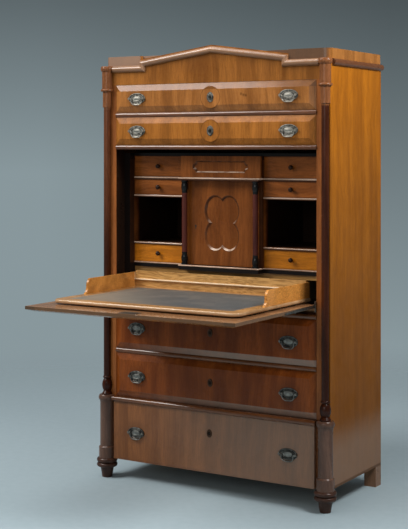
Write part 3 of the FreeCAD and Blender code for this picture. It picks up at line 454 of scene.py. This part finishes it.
def column_wood():
    """Dark shafts under paler turned drums, the left shaft paler in its upper half as painted light."""
    g = Graph("column_wood")
    base, lines, pores = wood_base(g, SHAFT, "Z", 6.0, 30.0)
    # The left shaft's upper half paler: painted light
    lighter_patch = g.both(g.without(g.beyond(0, 0.0)), g.between(g.axis(2), 0.85, 1.30))
    base = g.mix(g.both(lighter_patch, 0.7), base, lined(g, lines, 0.6, LIT_SHAFT))
    base = g.mix(g.beyond(2, DRUM_LEVEL), base, lined(g, lines, 0.6, DRUM))
    return polish(g, base, lines, pores, 0.22, 0.25, 0.2)


def feet_wood():
    """Dark turned front feet and plain paler blocks at the back."""
    g = Graph("feet_wood")
    base, lines, pores = wood_base(g, FOOT, "Z", 6.3, 30.0)
    base = g.mix(g.beyond(1, REAR_FEET_FROM), base, lined(g, lines, 0.7, BLOCK))
    return polish(g, base, lines, pores, 0.26, 0.4, 0.2)


def moulding_wood():
    """Cornice and gable mouldings, pale and glossy on the front, the paleness partly a painted highlight, dark and dull
    along the sides.
    """
    g = Graph("moulding_wood")
    base, lines, pores = wood_base(g, MOULDING, "X", 10.0, 30.0)
    flank = g.aside(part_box("side_panel_right")[1][0])
    base = g.mix(g.both(flank, 0.85), base, FLANK)
    return polish(g, base, lines, pores, 0.26, g.between(flank, 0.0, 1.0, 1.0, 0.25), 0.28)


def attic_wood():
    """The attic box: its front paler to the left and darker to the right as a painted reflection, and clear orange on
    its sides.
    """
    g = Graph("attic_wood")
    base, lines, pores = wood_base(g, ATTIC, "Z", 11.0, 24.0)
    between_sides = g.without(g.aside(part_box("attic_box")[1][0] - 0.012, 0.02))
    front = g.both(between_sides, g.between(g.facing(1), -0.5, -0.8))
    # Paler to the left, darker to the right: painted reflection
    left_reflection = g.mix(g.beyond(0, 0.0, 0.8), ATTIC_LEFT, ATTIC_RIGHT)
    base = g.mix(g.both(front, 0.85), base, left_reflection)
    spot = g.both(near_points(g, [ATTIC_SPOT], 0.004, 0.012), front)
    return polish(g, g.mix(g.both(spot, 0.8), base, SPOT), lines, pores, 0.26, 0.35)


def gallery_wood():
    """Orange side walls, the right one brighter as painted light, and a tan back wall whose ledge is painted pale as a
    highlight.
    """
    g = Graph("gallery_wood")
    base, lines, pores = wood_base(g, GALLERY, "X", 18.0, 22.0)
    low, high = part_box("tray_gallery")
    # The right wall brighter: painted light
    base = g.mix(g.both(g.beyond(0, 0.0), lines), base, GALLERY_RIGHT)
    inside = g.without(g.aside(high[0] - GALLERY_THICK))
    ledge = high[1] - GALLERY_THICK - LEDGE_OUT
    back = g.both(inside, g.beyond(1, ledge - 0.0005))
    base = g.mix(back, base, lined(g, lines, 1.0, TAN))
    # The ledge's nose painted pale: painted highlight
    nose = g.both(g.beyond(1, ledge + 0.006, -0.002), g.beyond(2, low[2] + LEDGE_RISE - 0.006, 0.003))
    base = g.mix(g.both(g.both(back, nose), 0.75), base, LEDGE_HIGHLIGHT)
    return polish(g, base, lines, pores, 0.24, 0.4)


def recess_wood():
    """Sloped linings of the sunken fields: darkened as painted shade, with the edges that face upwards painted pale as
    a highlight.
    """
    g = Graph("recess_wood")
    # Linings darker than the inner wood: painted shade
    base, lines, pores = wood_base(g, (scaled(INNER[0], 0.5), scaled(INNER[1], 0.6)), "Z", 17.0, 40.0)
    # Pale where the lining faces upwards: painted highlight
    up = g.between(g.facing(2), 0.30, 0.60)
    patchy = g.between(g.noise(g.place, 42.0), 0.36, 0.62, 0.35, 0.9)
    return polish(g, g.mix(g.both(up, patchy), base, RECESS_HIGHLIGHT), lines, pores, 0.2, 0.8, 0.18)


def inner_case_wood():
    """Stained boards with painted shade: pigeonholes growing black towards the back, dark shelf fronts, and black
    sides, top and base.
    """
    g = Graph("inner_case_wood")
    base, lines, pores = wood_base(g, INNER, "X", 3.0, 20.0)
    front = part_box("small_drawer_low_left")[0][1] + KNOB_LENGTH
    # Black towards the back of the pigeonholes: painted shade
    deep = g.between(g.axis(1), front + 0.004, front + 0.040)
    # Shelf fronts darkened: painted shade
    base = g.mix(g.both(g.beyond(1, front - 0.0035, -0.0006), 0.8), base, SHELF_EDGE)
    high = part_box("inner_case")[1]
    # Black sides, top and base of the inner case: painted shade
    frame_sides = g.either(g.aside(high[0] - INNER_FRAME[0]), g.beyond(2, high[2] - INNER_FRAME[1]))
    painted_black = g.either(frame_sides, g.beyond(2, BASE_EDGE, -0.0006))
    base = g.mix(g.both(g.either(deep, painted_black), 0.94), base, BLACK)
    return polish(g, base, lines, pores, 0.3, 0.2)


def small_drawer_wood(name, tones, seed):
    """The front, with a dark turned knob before it and plain linings behind it, told apart by their depth."""
    g = Graph(f"{name}_wood")
    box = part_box(name)
    face = box[0][1] + KNOB_LENGTH
    base, lines, pores = wood_base(g, tones, "X", seed, 20.0)
    base = g.mix(g.both(near_edge(g, box, 0.006), 0.45), base, scaled(tones[0], 0.4))
    base = g.mix(g.beyond(1, face + LINED_FROM, 0.001), base, g.mix(lines, *LINING))
    base = g.mix(g.beyond(1, face - 0.0005, -0.0002), base, KNOB)
    return polish(g, base, lines, pores, 0.24, 0.25)


def flap_wood():
    """The flap: its inner face with clamped ends, whose end grain shows dark at the corners of the free edge, and
    an upright veneer on its outer face."""
    g = Graph("flap_wood")
    base, lines, pores = wood_base(g, FLAP, "X", 8.0, 20.0)
    box = low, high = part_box("flap_board")
    veneer, outer_lines, outer_pores = wood_base(g, VENEER, "Y", 9.0, 20.0)
    outside = g.beyond(2, (low[2] + high[2]) / 2, -0.002)
    inside = g.without(outside)
    base = g.mix(outside, base, veneer)
    lines = g.sum(g.both(lines, inside), g.both(outer_lines, outside))
    pores = g.sum(g.both(pores, inside), g.both(outer_pores, outside))
    free_edge = g.beyond(1, low[1] + 0.0008, -0.0008)
    edge = g.either(free_edge, g.aside(high[0] - 0.0008, 0.0008))
    base = g.mix(g.both(edge, 0.82), base, FLAP_EDGE)
    clamp_from = high[0] - CLAMP_WIDTH
    clamp = g.aside(clamp_from - 0.0005, 0.001)
    base = g.mix(g.both(g.both(free_edge, clamp), 0.9), base, END_GRAIN)
    joint = g.both(clamp, g.aside(clamp_from + 0.001, -0.001))
    base = g.mix(g.both(joint, 0.6), base, CLAMP_JOINT)
    base = g.mix(g.both(near_edge(g, box, 0.006, (0, 1)), 0.25), base, FLAP_RUBBED)
    return polish(g, base, lines, pores, 0.22, 0.5)


def colonnette_wood():
    """Dark red-brown shafts with black turned ends."""
    g = Graph("colonnette_wood")
    low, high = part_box("colonnettes")
    base, lines, pores = wood_base(g, COLONNETTE, "Z", 2.0, 40.0)
    middle = (low[2] + high[2]) / 2
    ends_from = (high[2] - low[2]) / 2 - COLONNETTE_END
    from_middle = g.math("ABSOLUTE", g.math("SUBTRACT", g.axis(2), middle))
    ends = g.between(from_middle, ends_from - 0.002, ends_from)
    return polish(g, g.mix(ends, base, BLACK), lines, pores, 0.16, 0.5, 0.09)


# Metal and leather

PITTED_DEPTH, PEBBLE_DEPTH = 0.00012, 0.0004
TOOLED_INSETS = (0.022, 0.030)
TOOLED_WIDTH = 0.0016


def brass(name, bright, dull, hollow=None, key=None, key_tone=None):
    """Old brass: polished where hands reach, brown-grey in the hollows and in blotches.

    hollow is where it starts and ends to grow dull, along y. key is the (x, z) of an escutcheon, dark round its
    keyhole, and key_tone the brown colour given to the escutcheon of a lower drawer.
    """
    g = Graph(name)
    blotches = g.between(g.noise(g.place, 75.0, 5.0, 0.62), 0.36, 0.64)
    specks = g.between(g.noise(g.place, 520.0, 3.0, 0.6), 0.5, 0.72)
    tarnish = g.sum(g.both(blotches, 0.5), g.both(specks, 0.3))
    if hollow:
        tarnish = g.sum(g.both(tarnish, 0.8), g.both(g.between(g.axis(1), *hollow), 0.6))
    tarnish = g.math("MINIMUM", tarnish, 1.0)
    g.bump(g.sum(g.both(specks, -0.5), g.both(blotches, 0.5)), PITTED_DEPTH)
    base = g.mix(tarnish, bright, dull)
    if key_tone:
        base = g.mix(g.both(near_points(g, [key], 0.022, 0.026), 0.85), base, key_tone)
    if key:
        base = g.mix(g.both(near_points(g, [key], 0.0045, 0.0085), 0.85), base, scaled(dull, 0.3))
    return g.finish(Base_Color=base, Roughness=g.sum(g.both(tarnish, 0.24), 0.34), Metallic=1.0)


def black(name):
    g = Graph(name)
    dust = g.between(g.noise(g.place, 300.0, 3.0), 0.45, 0.75)
    return g.finish(Base_Color=g.mix(dust, HOLE_DARK, HOLE_DUST), Roughness=0.7)


def leather():
    """Slate writing leather: pebbled, rubbed brown at its front left, with a blind tooled double line."""
    g = Graph("writing_leather")
    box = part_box("tray_leather")
    pebbles = g.cells(g.place, 900.0)
    creases = g.cells(g.vector("ADD", g.place, (0.3, 0.1, 0.0)), 260.0, "SMOOTH_F1")
    lighter_patch = g.between(g.noise(g.place, 6.5, 5.0, 0.62), 0.42, 0.72)
    blots = g.between(g.noise(g.vector("ADD", g.place, (4.0, 2.0, 0.0)), 19.0, 4.0, 0.6), 0.66, 0.74)
    base = g.mix(g.between(pebbles, 0.1, 0.7), LEATHER_DARK, LEATHER_LIGHT)
    base = g.mix(g.both(lighter_patch, 0.5), base, LEATHER_WORN)
    rubbed = g.between(g.sum(g.axis(0), g.both(g.axis(1), 0.8)), -0.16, -0.52)
    base = g.mix(g.both(rubbed, 0.75), base, LEATHER_RUBBED)
    base = g.mix(g.both(blots, 0.6), base, LEATHER_BLOT)
    tooled = []
    for inset in TOOLED_INSETS:
        outer = near_edge(g, box, inset + TOOLED_WIDTH, (0, 1))
        inner = near_edge(g, box, inset, (0, 1))
        tooled.append(g.both(g.between(outer, 0.0, 0.006), g.between(inner, 0.006, 0.0)))
    tooled = g.any_of(tooled)
    base = g.mix(g.both(tooled, 0.75), base, LEATHER_TOOLED)
    height = g.sum(g.both(pebbles, -0.5), g.both(creases, -0.5))
    g.bump(g.math("SUBTRACT", height, tooled), PEBBLE_DEPTH, 0.7)
    rough = g.between(lighter_patch, 0.0, 1.0, 0.5, 0.36)
    return g.finish(Base_Color=base, Roughness=rough, Coat_Weight=0.12, Coat_Roughness=0.35)


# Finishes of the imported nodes

def dress(material, *nodes):
    for name in nodes:
        NODES[name].data.materials.clear()
        NODES[name].data.materials.append(material)


def drawer_handles(name):
    """(x, z) of the middles of the left and right plates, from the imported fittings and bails."""
    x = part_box(f"{name}_fittings")[0][0] + PLATE[0]
    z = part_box(f"{name}_bail_left")[1][2] - BAIL_RADIUS
    return [(x, z), (-x, z)]


keyhole_black = black("keyhole_black")
old_brass = brass("old_brass", LOW_BRIGHT, LOW_DULL)

dress(side_wood(), "side_panel_left", "side_panel_right")
dress(post_wood(), "corner_posts")
dress(column_wood(), "corner_columns")
dress(feet_wood(), "feet")
dress(wood("plinth_column_wood", PLINTH_COLUMN, "Z", 6.6, 30.0, 0.24, 0.5, 0.2), "plinth_columns")
dress(wood("rail_wood", RAIL, "X", 7.0, 26.0, 0.2, 0.9, 0.12), "drawer_rails", "plinth_moulding")
dress(wood("gable_wood", GABLE, "Z", 9.0, coat=0.25), "gable_board")
dress(moulding_wood(), "cornice_moulding")
dress(attic_wood(), "attic_box", "cornice_board")
dress(lining("back_wood", toned(LINING, BACK_SHADE), "Z", 12.0), "back_boards")
dress(lining("board_wood", LINING, "X", 13.0), "dust_boards", "tray_runners")
dress(inner_case_wood(), "inner_case")
dress(wood("apron_wood", TAN, "X", 14.0), "inner_apron")
dress(wood("centre_wood", INNER, "Z", 15.0, coat=0.2), "centre_front")
dress(wood("door_wood", INNER, "Z", 16.0, 20.0, coat=0.2), "door_panel")
dress(recess_wood(), "door_moulding", "frieze_plaque")
dress(colonnette_wood(), "colonnettes")
dress(flap_wood(), "flap_board")
dress(wood("tray_wood", TRAY, "X", 18.0, 22.0, 0.24, 0.3), "tray_board")
dress(gallery_wood(), "tray_gallery")
dress(leather(), "tray_leather")
dress(old_brass, "pivot_plates", "flap_brasses", "door_hinges")
dress(lining("drawer_box_wood", LINING, "Y", 19.0), *[f"{name}_box" for name in DRAWERS])
for index, name in enumerate(DRAWERS):
    dress(drawer_wood(name, 20.0 + index), f"{name}_front")
for index, name in enumerate(SMALL_DRAWERS):
    tones = toned(ORANGE, ORANGE_FRONTS[name]) if name in ORANGE_FRONTS else toned(INNER, INNER_FRONT)
    dress(small_drawer_wood(name, tones, 30.0 + index), name)


# Meshes of the added pieces

# Beads: how far they stand outside an oval, their width, and the levels of their foot and crest above its face
BEAD_PARTS = 6
RIM_BEAD = (-0.0003, 0.0034, -0.0004, 0.0016)
FIELD_BEAD = (-0.0052, 0.0018, -0.0003, 0.0008)
BOSS_BEAD = (0.0002, 0.0028, -0.0012, 0.0004)
KEY_BEAD = (-0.0002, 0.0030, -0.0004, 0.0012)
KEY_RING = (0.0045, 0.0046, -0.0002, 0.0024)

# Rings of the flutes round a boss and of the dome on it: half width, half height, level above the face below
FLUTES = ((0.0328, 0.0153, -0.0003), (0.0314, 0.0147, 0.0003), (0.0280, 0.0136, 0.0006), (0.0240, 0.0122, 0.0002),
          (0.0226, 0.0116, -0.0003))
FLUTE_COUNT, FLUTE_SWELL = 24, 0.0007
DOME = ((0.0150, 0.0066, -0.0006), (0.0142, 0.0062, -0.0001), (0.0110, 0.0047, 0.0003), (0.0066, 0.0028, 0.0006),
        (0.0026, 0.0011, 0.0007))
CAPPED_UNDER = 0.004
OVAL_STEPS, FLUTE_STEPS, DOME_STEPS = 56, 144, 40

# The grip of a bail: share of its reach, radius
GRIP = ((-1.0, 0.0005), (-0.99, 0.0027), (-0.94, 0.0031), (-0.89, 0.0027), (-0.84, 0.0023), (-0.5, 0.0029),
        (0.0, 0.0032), (0.5, 0.0029), (0.84, 0.0023), (0.89, 0.0027), (0.94, 0.0031), (0.99, 0.0027), (1.0, 0.0005))
GRIP_REACH = 0.0125
GRIP_STEPS = 18

# A screw head: its lines across as shares of the radius, half its slot likewise, and the levels of its rim and slot
SCREW_LINES = (-1.0, -0.94, -0.8, -0.55, -0.3)
SCREW_SLOT = 0.16
SCREW_ROWS = 9
SCREW_RIM, SLOT_FLOOR = 0.00005, -0.00002

# Keyholes: radius, width of the slot, depth of its end below the middle; and how far they lie before a face
KEYHOLE = (0.0030, 0.0026, 0.0090)
DOOR_KEYHOLE = (0.0046, 0.0040, 0.0125)
KEYHOLE_STEPS = 24
KEYHOLE_OUT = 0.0003


def piece(name, mesh, body, material):
    """A finished bmesh as an object that rides on a body."""
    mesh.normal_update()
    data = bpy.data.meshes.new(name)
    mesh.to_mesh(data)
    mesh.free()
    made = bpy.data.objects.new(name, data)
    bpy.context.collection.objects.link(made)
    data.materials.append(material)
    data.shade_smooth()
    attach(made, body)


def join_rings(mesh, rings):
    for lower, upper in zip(rings, rings[1:]):
        for step in range(len(lower)):
            after = (step + 1) % len(lower)
            mesh.faces.new((lower[step], lower[after], upper[after], upper[step]))


def oval_surface(mesh, centre, profile, level, steps, waves=0, swell=0.0):
    """Rings of points round an oval on a drawer front: profile lists (half width, half height, height over level).

    waves makes the inner rings rise and fall that many times round, by swell.
    """
    rings = []
    for number, (wide, tall, height) in enumerate(profile):
        inside = 0 < number < len(profile) - 1
        ring = []
        for step in range(steps):
            angle = 2 * math.pi * step / steps
            lift = level + height + (swell * (0.5 + 0.5 * math.cos(waves * angle)) if inside else 0.0)
            ring.append(mesh.verts.new((centre[0] + wide * math.cos(angle), centre[1] - lift,
                                        centre[2] + tall * math.sin(angle))))
        rings.append(ring)
    join_rings(mesh, rings)
    if profile[-1][0] < CAPPED_UNDER:
        mesh.faces.new(rings[-1])


def bead(mesh, centre, half, level, shape):
    """A half-round bead that follows an oval."""
    outside, width, foot, crest = shape
    profile = []
    for number in range(BEAD_PARTS + 1):
        turn = math.pi * number / BEAD_PARTS
        more = outside - width / 2 * (1 - math.cos(turn))
        profile.append((half[0] + more, half[1] + more, foot + (crest - foot) * math.sin(turn)))
    oval_surface(mesh, centre, profile, level, OVAL_STEPS)


def handle_relief(mesh, centre):
    """Cast ornament on one plate: beaded rim, gadroons, and a domed medallion in an oval ring."""
    boss_face = PLATE_THICK + BOSS_THICK
    bead(mesh, centre, PLATE, PLATE_THICK, RIM_BEAD)
    bead(mesh, centre, PLATE, PLATE_THICK, FIELD_BEAD)
    oval_surface(mesh, centre, FLUTES, PLATE_THICK, FLUTE_STEPS, FLUTE_COUNT, FLUTE_SWELL)
    bead(mesh, centre, BOSS, boss_face, BOSS_BEAD)
    oval_surface(mesh, centre, DOME, boss_face, DOME_STEPS)


def screw(mesh, centre, across, along, out, radius, dome, turn):
    """A slotted screw head on a plate: across and along lie in the plate, out points away from it."""
    across, along, out = Vector(across), Vector(along), Vector(out)
    first = across * math.cos(turn) + along * math.sin(turn)
    second = along * math.cos(turn) - across * math.sin(turn)
    slot = SCREW_SLOT * radius
    columns = [share * radius for share in SCREW_LINES] + [-slot, -0.9 * slot, 0.9 * slot, slot]
    columns += [-share * radius for share in reversed(SCREW_LINES)]
    grid = []
    for u in columns:
        chord = math.sqrt(max(radius ** 2 - u ** 2, 0.0)) + 1e-6
        line = []
        for row in range(SCREW_ROWS):
            v = chord * (2 * row / (SCREW_ROWS - 1) - 1)
            rim = min(1.0, (u * u + v * v) / radius ** 2)
            height = SLOT_FLOOR if abs(u) < 0.95 * slot else dome * math.sqrt(1.0 - rim) + SCREW_RIM
            line.append(mesh.verts.new(Vector(centre) + first * u + second * v + out * height))
        grid.append(line)
    for left, right in zip(grid, grid[1:]):
        for row in range(SCREW_ROWS - 1):
            mesh.faces.new((left[row], right[row], right[row + 1], left[row + 1]))


def grip(mesh, centre):
    """The swelling on the lower bar of a bail, with a ring at each end."""
    turns = [2 * math.pi * step / GRIP_STEPS for step in range(GRIP_STEPS)]
    join_rings(mesh, [[mesh.verts.new((centre[0] + share * GRIP_REACH, centre[1] + radius * math.cos(turn),
                                       centre[2] + radius * math.sin(turn))) for turn in turns]
                      for share, radius in GRIP])


def keyhole(mesh, centre, radius, slot, drop):
    """The dark keyhole as a flat plug: a disc and the slot below it."""
    x, y, z = centre
    start = math.asin(slot / 2 / radius)
    outline = []
    for step in range(KEYHOLE_STEPS + 1):
        angle = -math.pi / 2 + start + (2 * math.pi - 2 * start) * step / KEYHOLE_STEPS
        outline.append((x + radius * math.cos(angle), y, z + radius * math.sin(angle)))
    outline += [(x - slot / 2, y, z - drop), (x + slot / 2, y, z - drop)]
    mesh.faces.new([mesh.verts.new(point) for point in outline])


def swept(mesh, path, profile):
    """A moulding along (x, y) points: profile lists (distance out to the right of the path, z)."""
    rings = []
    for index, point in enumerate(path):
        here = Vector(point)
        before = here - Vector(path[index - 1]) if index else Vector(path[1]) - here
        after = Vector(path[index + 1]) - here if index + 1 < len(path) else before
        first = Vector((before.y, -before.x)).normalized()
        second = Vector((after.y, -after.x)).normalized()
        mitre = (first + second) / (1.0 + first.dot(second))
        rings.append([mesh.verts.new((*(here + out * mitre), z)) for out, z in profile])
    for near, far in zip(rings, rings[1:]):
        for index in range(len(profile) - 1):
            mesh.faces.new((near[index], near[index + 1], far[index + 1], far[index]))


def half_round(low, high, out, steps=8):
    turns = [math.pi * step / steps for step in range(steps + 1)]
    return [(out * math.sin(turn), (low + high) / 2 - (high - low) / 2 * math.cos(turn)) for turn in turns]


# Nosings of the shelves and of the tray

SHELF_BEFORE = 0.004  # from the faces of the small drawers to the shelves' edges
CENTRE_MARGIN = 0.056  # from the plaque to the side of the centre frame
SHELF_NOSING = 0.0015
# Lower and upper level of each shelf's edge: of those that run past the centre frame, and of those at its sides
LONG_SHELVES = ((BASE_EDGE, 0.884), (1.2290, 1.2355))
SIDE_SHELVES = ((0.9600, 0.9655), (1.1550, 1.1605))
TRAY_NOSING = 0.0045
TRAY_FROM, TRAY_TO = 0.0005, -0.0003  # the tray's nosing, from its under and upper face
CORNER_STEPS = 12


def shelf_nosings():
    """Polished edges along the fronts of the shelves and of the base of the inner case, painted pale as a highlight."""
    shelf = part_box("small_drawer_low_left")[0][1] + KNOB_LENGTH - SHELF_BEFORE
    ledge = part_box("inner_case")[0][1]
    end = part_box("small_drawer_low_right")[1][0]
    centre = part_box("frieze_plaque")[1][0] + CENTRE_MARGIN
    made = bmesh.new()
    stepped = [(-end, shelf), (-centre, shelf), (-centre, ledge), (centre, ledge), (centre, shelf), (end, shelf)]
    for low, high in LONG_SHELVES:
        swept(made, stepped, half_round(low, high, SHELF_NOSING))
    for low, high in SIDE_SHELVES:
        for near, far in ((-end, -centre), (centre, end)):
            swept(made, [(near, shelf), (far, shelf)], half_round(low, high, SHELF_NOSING))
    piece("shelf_nosings", made, "case", wood("nosing_wood", NOSING, "X", 41.0, 30.0, 0.2, 0.8))


def tray_nosing():
    """The rounded edge of the tray, from the back on one side round both front corners to the other."""
    low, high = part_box("tray_board")
    path = [(low[0], high[1])]
    for x, start in ((low[0] + TRAY_CORNER, math.pi), (high[0] - TRAY_CORNER, 1.5 * math.pi)):
        for step in range(CORNER_STEPS + 1):
            turn = start + math.pi / 2 * step / CORNER_STEPS
            path.append((x + TRAY_CORNER * math.cos(turn), low[1] + TRAY_CORNER + TRAY_CORNER * math.sin(turn)))
    path.append((high[0], high[1]))
    made = bmesh.new()
    swept(made, path, half_round(low[2] + TRAY_FROM, high[2] + TRAY_TO, TRAY_NOSING))
    piece("tray_nosing", made, "tray", wood("tray_edge_wood", TRAY_EDGE, "X", 42.0, 24.0, 0.18, 0.9))


shelf_nosings()
tray_nosing()


# Handles, keyholes and screws

BRIGHT_FROM, DULL_FROM = 0.0021, 0.0004  # levels over a handle plate
# Screws of the flap: in the straps by y and height over the strap's line, in the lock by x and y; radius and dome
STRAP_OUT, STRAP_RISE = 0.002, 0.003
STRAP_SCREWS = ((0.045, 0.0), (0.0, 0.0), (-0.096, -0.006))
STRAP_HEAD = (0.0034, 0.0006)
LOCK_SCREWS = ((-0.028, -0.508), (-0.028, -0.487), (0.028, -0.508), (0.028, -0.487))
LOCK_HEAD = (0.003, 0.0005)
DOOR_KEY = (-0.122, 1.040)


def drawer_metal(name):
    """The brass of a drawer's fittings and bails, its relief, its keyhole and its two grips."""
    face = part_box(f"{name}_front")[0][1]
    plate = face - PLATE_THICK
    handles = drawer_handles(name)
    key = (0.0, face, KEYS[name])
    upper = name in UPPER
    # Lower drawers get the darker brass: painted shade
    tones = (BRIGHT, DULL) if upper else (LOW_BRIGHT, LOW_DULL)
    metal = brass(f"{name}_brass", *tones, (plate - BRIGHT_FROM, plate - DULL_FROM), (0.0, KEYS[name]),
                  None if upper else KEY_BROWN)
    dress(metal, f"{name}_fittings", f"{name}_bail_left", f"{name}_bail_right")
    relief = bmesh.new()
    for x, z in handles:
        handle_relief(relief, (x, face, z))
    bead(relief, key, ESCUTCHEON, PLATE_THICK, KEY_BEAD)
    if upper:
        bead(relief, key, ESCUTCHEON, 0.0, KEY_RING)
    piece(f"{name}_relief", relief, name, metal)
    hole = bmesh.new()
    keyhole(hole, (0.0, face - KEYHOLE_OUT, KEYS[name]), *KEYHOLE)
    piece(f"{name}_keyhole", hole, name, keyhole_black)
    for (side, _), (x, z) in zip(SIDES, handles):
        bar = bmesh.new()
        grip(bar, (x, face - BAIL_OUT, z - BAIL_DROP))
        piece(f"{name}_grip_{side}", bar, f"{name}_bail_{side}", metal)


def flap_screws():
    low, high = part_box("flap_board")
    level = (low[2] + high[2]) / 2 + STRAP_RISE
    made = bmesh.new()
    for _, side in SIDES:
        for y, rise in STRAP_SCREWS:
            centre = (side * (high[0] + STRAP_OUT), y, level + rise)
            screw(made, centre, (0, 1, 0), (0, 0, 1), (side, 0, 0), *STRAP_HEAD, 0.3 + y * 20)
    lock_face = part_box("flap_brasses")[1][2]
    for x, y in LOCK_SCREWS:
        screw(made, (x, y, lock_face), (1, 0, 0), (0, 1, 0), (0, 0, 1), *LOCK_HEAD, x * 30 + y)
    piece("flap_screws", made, "flap", old_brass)


def door_keyhole():
    made = bmesh.new()
    x, z = DOOR_KEY
    keyhole(made, (x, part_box("door_panel")[0][1] - KEYHOLE_OUT, z), *DOOR_KEYHOLE)
    piece("door_keyhole", made, "door", keyhole_black)


for name in DRAWERS:
    drawer_metal(name)
flap_screws()
door_keyhole()


# Stage, light and camera

FLOOR_RADIUS = 6.0
FLOOR_DROP = 0.0005
FLOOR_FADE = (1.6, 4.2)
# A plain grey-blue backdrop: its tone, and how bright it is on the left and on the right by height of the line of sight
BACKDROP_TONE = (0.80, 1.0, 1.07)
BACKDROP = ((-0.28, 0.43, 0.43), (-0.15, 0.31, 0.31), (-0.02, 0.31, 0.2015), (0.12, 0.13, 0.0845))
ASIDE = (0.8522, 0.5233, 0.0)
LEFT_TO_RIGHT = (-0.13, 0.14)
FILL = (0.17, 0.174, 0.178)
LAMP_TINT = (1.0, 0.985, 0.965)
# Place, target, width and height, power
LAMPS = {
    "softbox_left": ((-2.5, -2.1, 3.7), (0.0, 0.1, 1.2), (2.0, 1.7), 150.0),
    "softbox_above": ((-0.5, -0.85, 4.0), (0.0, -0.1, 1.0), (1.8, 1.4), 38.0),
    "softbox_front": ((0.7, -4.6, 2.1), (0.0, 0.0, 0.9), (3.0, 1.2), 28.0),
    "lamp_right": ((1.85, -0.15, 2.50), (0.5, 0.15, 1.2), (0.8, 0.8), 50.0),
}
CAMERA_PLACE = (2.6207, -4.2259, 1.3556)
CAMERA_TURN = (math.radians(90.0), 0.0, math.radians(31.554))


def floor():
    """A pale studio floor that fades into the background with distance."""
    g = Graph("studio_floor")
    fade = g.between(g.length(g.place), *FLOOR_FADE)
    speckle = g.between(g.noise(g.place, 30.0, 4.0), 0.3, 0.7)
    g.finish(Base_Color=g.mix(speckle, FLOOR_DARK, FLOOR_LIGHT), Roughness=0.75)
    clear = g.node("ShaderNodeBsdfTransparent")
    mixed = g.fill(g.node("ShaderNodeMixShader"), fade, g.shader.outputs[0], clear.outputs[0])
    g.put(g.tree.nodes["Material Output"].inputs["Surface"], mixed)
    disc = bmesh.new()
    bmesh.ops.create_circle(disc, cap_ends=True, segments=96, radius=FLOOR_RADIUS)
    data = bpy.data.meshes.new("studio_floor")
    disc.to_mesh(data)
    disc.free()
    made = bpy.data.objects.new("studio_floor", data)
    made.location.z = -FLOOR_DROP
    bpy.context.collection.objects.link(made)
    data.materials.append(g.material)


def share_between(tree, value, low, high):
    made = tree.nodes.new("ShaderNodeMapRange")
    for socket, number in zip(made.inputs[1:5], (low, high, 0.0, 1.0)):
        socket.default_value = number
    tree.links.new(value, made.inputs[0])
    return made.outputs[0]


def world():
    """Grey-blue backdrop, darker upwards and to the right, with an even fill light for the object."""
    made = bpy.data.worlds.new("studio")
    made.use_nodes = True
    tree = made.node_tree
    place = tree.nodes.new("ShaderNodeTexCoord").outputs["Generated"]
    split = tree.nodes.new("ShaderNodeSeparateXYZ")
    tree.links.new(place, split.inputs[0])
    low, high = BACKDROP[0][0], BACKDROP[-1][0]
    rise = share_between(tree, split.outputs[2], low, high)
    aside = tree.nodes.new("ShaderNodeVectorMath")
    aside.operation = "DOT_PRODUCT"
    tree.links.new(place, aside.inputs[0])
    aside.inputs[1].default_value = ASIDE
    backdrop = tree.nodes.new("ShaderNodeMix")
    backdrop.data_type = "RGBA"
    tree.links.new(share_between(tree, aside.outputs["Value"], *LEFT_TO_RIGHT), backdrop.inputs[0])
    for side, socket in enumerate(backdrop.inputs[6:8]):
        ramp = tree.nodes.new("ShaderNodeValToRGB")
        tree.links.new(rise, ramp.inputs[0])
        stops = ramp.color_ramp.elements
        stops.remove(stops[1])
        for height, *levels in BACKDROP:
            share = (height - low) / (high - low)
            stop = stops[0] if share == 0.0 else stops.new(share)
            stop.position = share
            stop.color = (*scaled(BACKDROP_TONE, levels[side]), 1.0)
        tree.links.new(ramp.outputs[0], socket)
    rays = tree.nodes.new("ShaderNodeLightPath")
    seen = rays.outputs["Is Camera Ray"]
    for kind in ("Is Glossy Ray", "Is Transmission Ray"):
        either = tree.nodes.new("ShaderNodeMath")
        either.operation = "MAXIMUM"
        tree.links.new(seen, either.inputs[0])
        tree.links.new(rays.outputs[kind], either.inputs[1])
        seen = either.outputs[0]
    mix = tree.nodes.new("ShaderNodeMix")
    mix.data_type = "RGBA"
    tree.links.new(seen, mix.inputs[0])
    mix.inputs[6].default_value = (*FILL, 1.0)
    tree.links.new(backdrop.outputs[2], mix.inputs[7])
    tree.links.new(mix.outputs[2], tree.nodes["Background"].inputs["Color"])
    tree.nodes["Background"].inputs["Strength"].default_value = 1.0
    bpy.context.scene.world = made


def lamp(name, place, target, size, power):
    data = bpy.data.lights.new(name, "AREA")
    data.shape = "RECTANGLE"
    data.size, data.size_y = size
    data.energy = power
    data.color = LAMP_TINT
    made = bpy.data.objects.new(name, data)
    made.location = place
    made.rotation_euler = (Vector(target) - Vector(place)).to_track_quat("-Z", "Y").to_euler()
    bpy.context.collection.objects.link(made)


def camera():
    data = bpy.data.cameras.new("camera")
    data.sensor_width = 36.0
    data.lens = 87.12
    data.shift_x = -0.0084
    data.shift_y = -0.2212
    made = bpy.data.objects.new("camera", data)
    made.location = CAMERA_PLACE
    made.rotation_euler = CAMERA_TURN
    bpy.context.collection.objects.link(made)
    bpy.context.scene.camera = made


floor()
world()
for name, settings in LAMPS.items():
    lamp(name, *settings)
camera()
bpy.context.scene.view_settings.view_transform = "Standard"
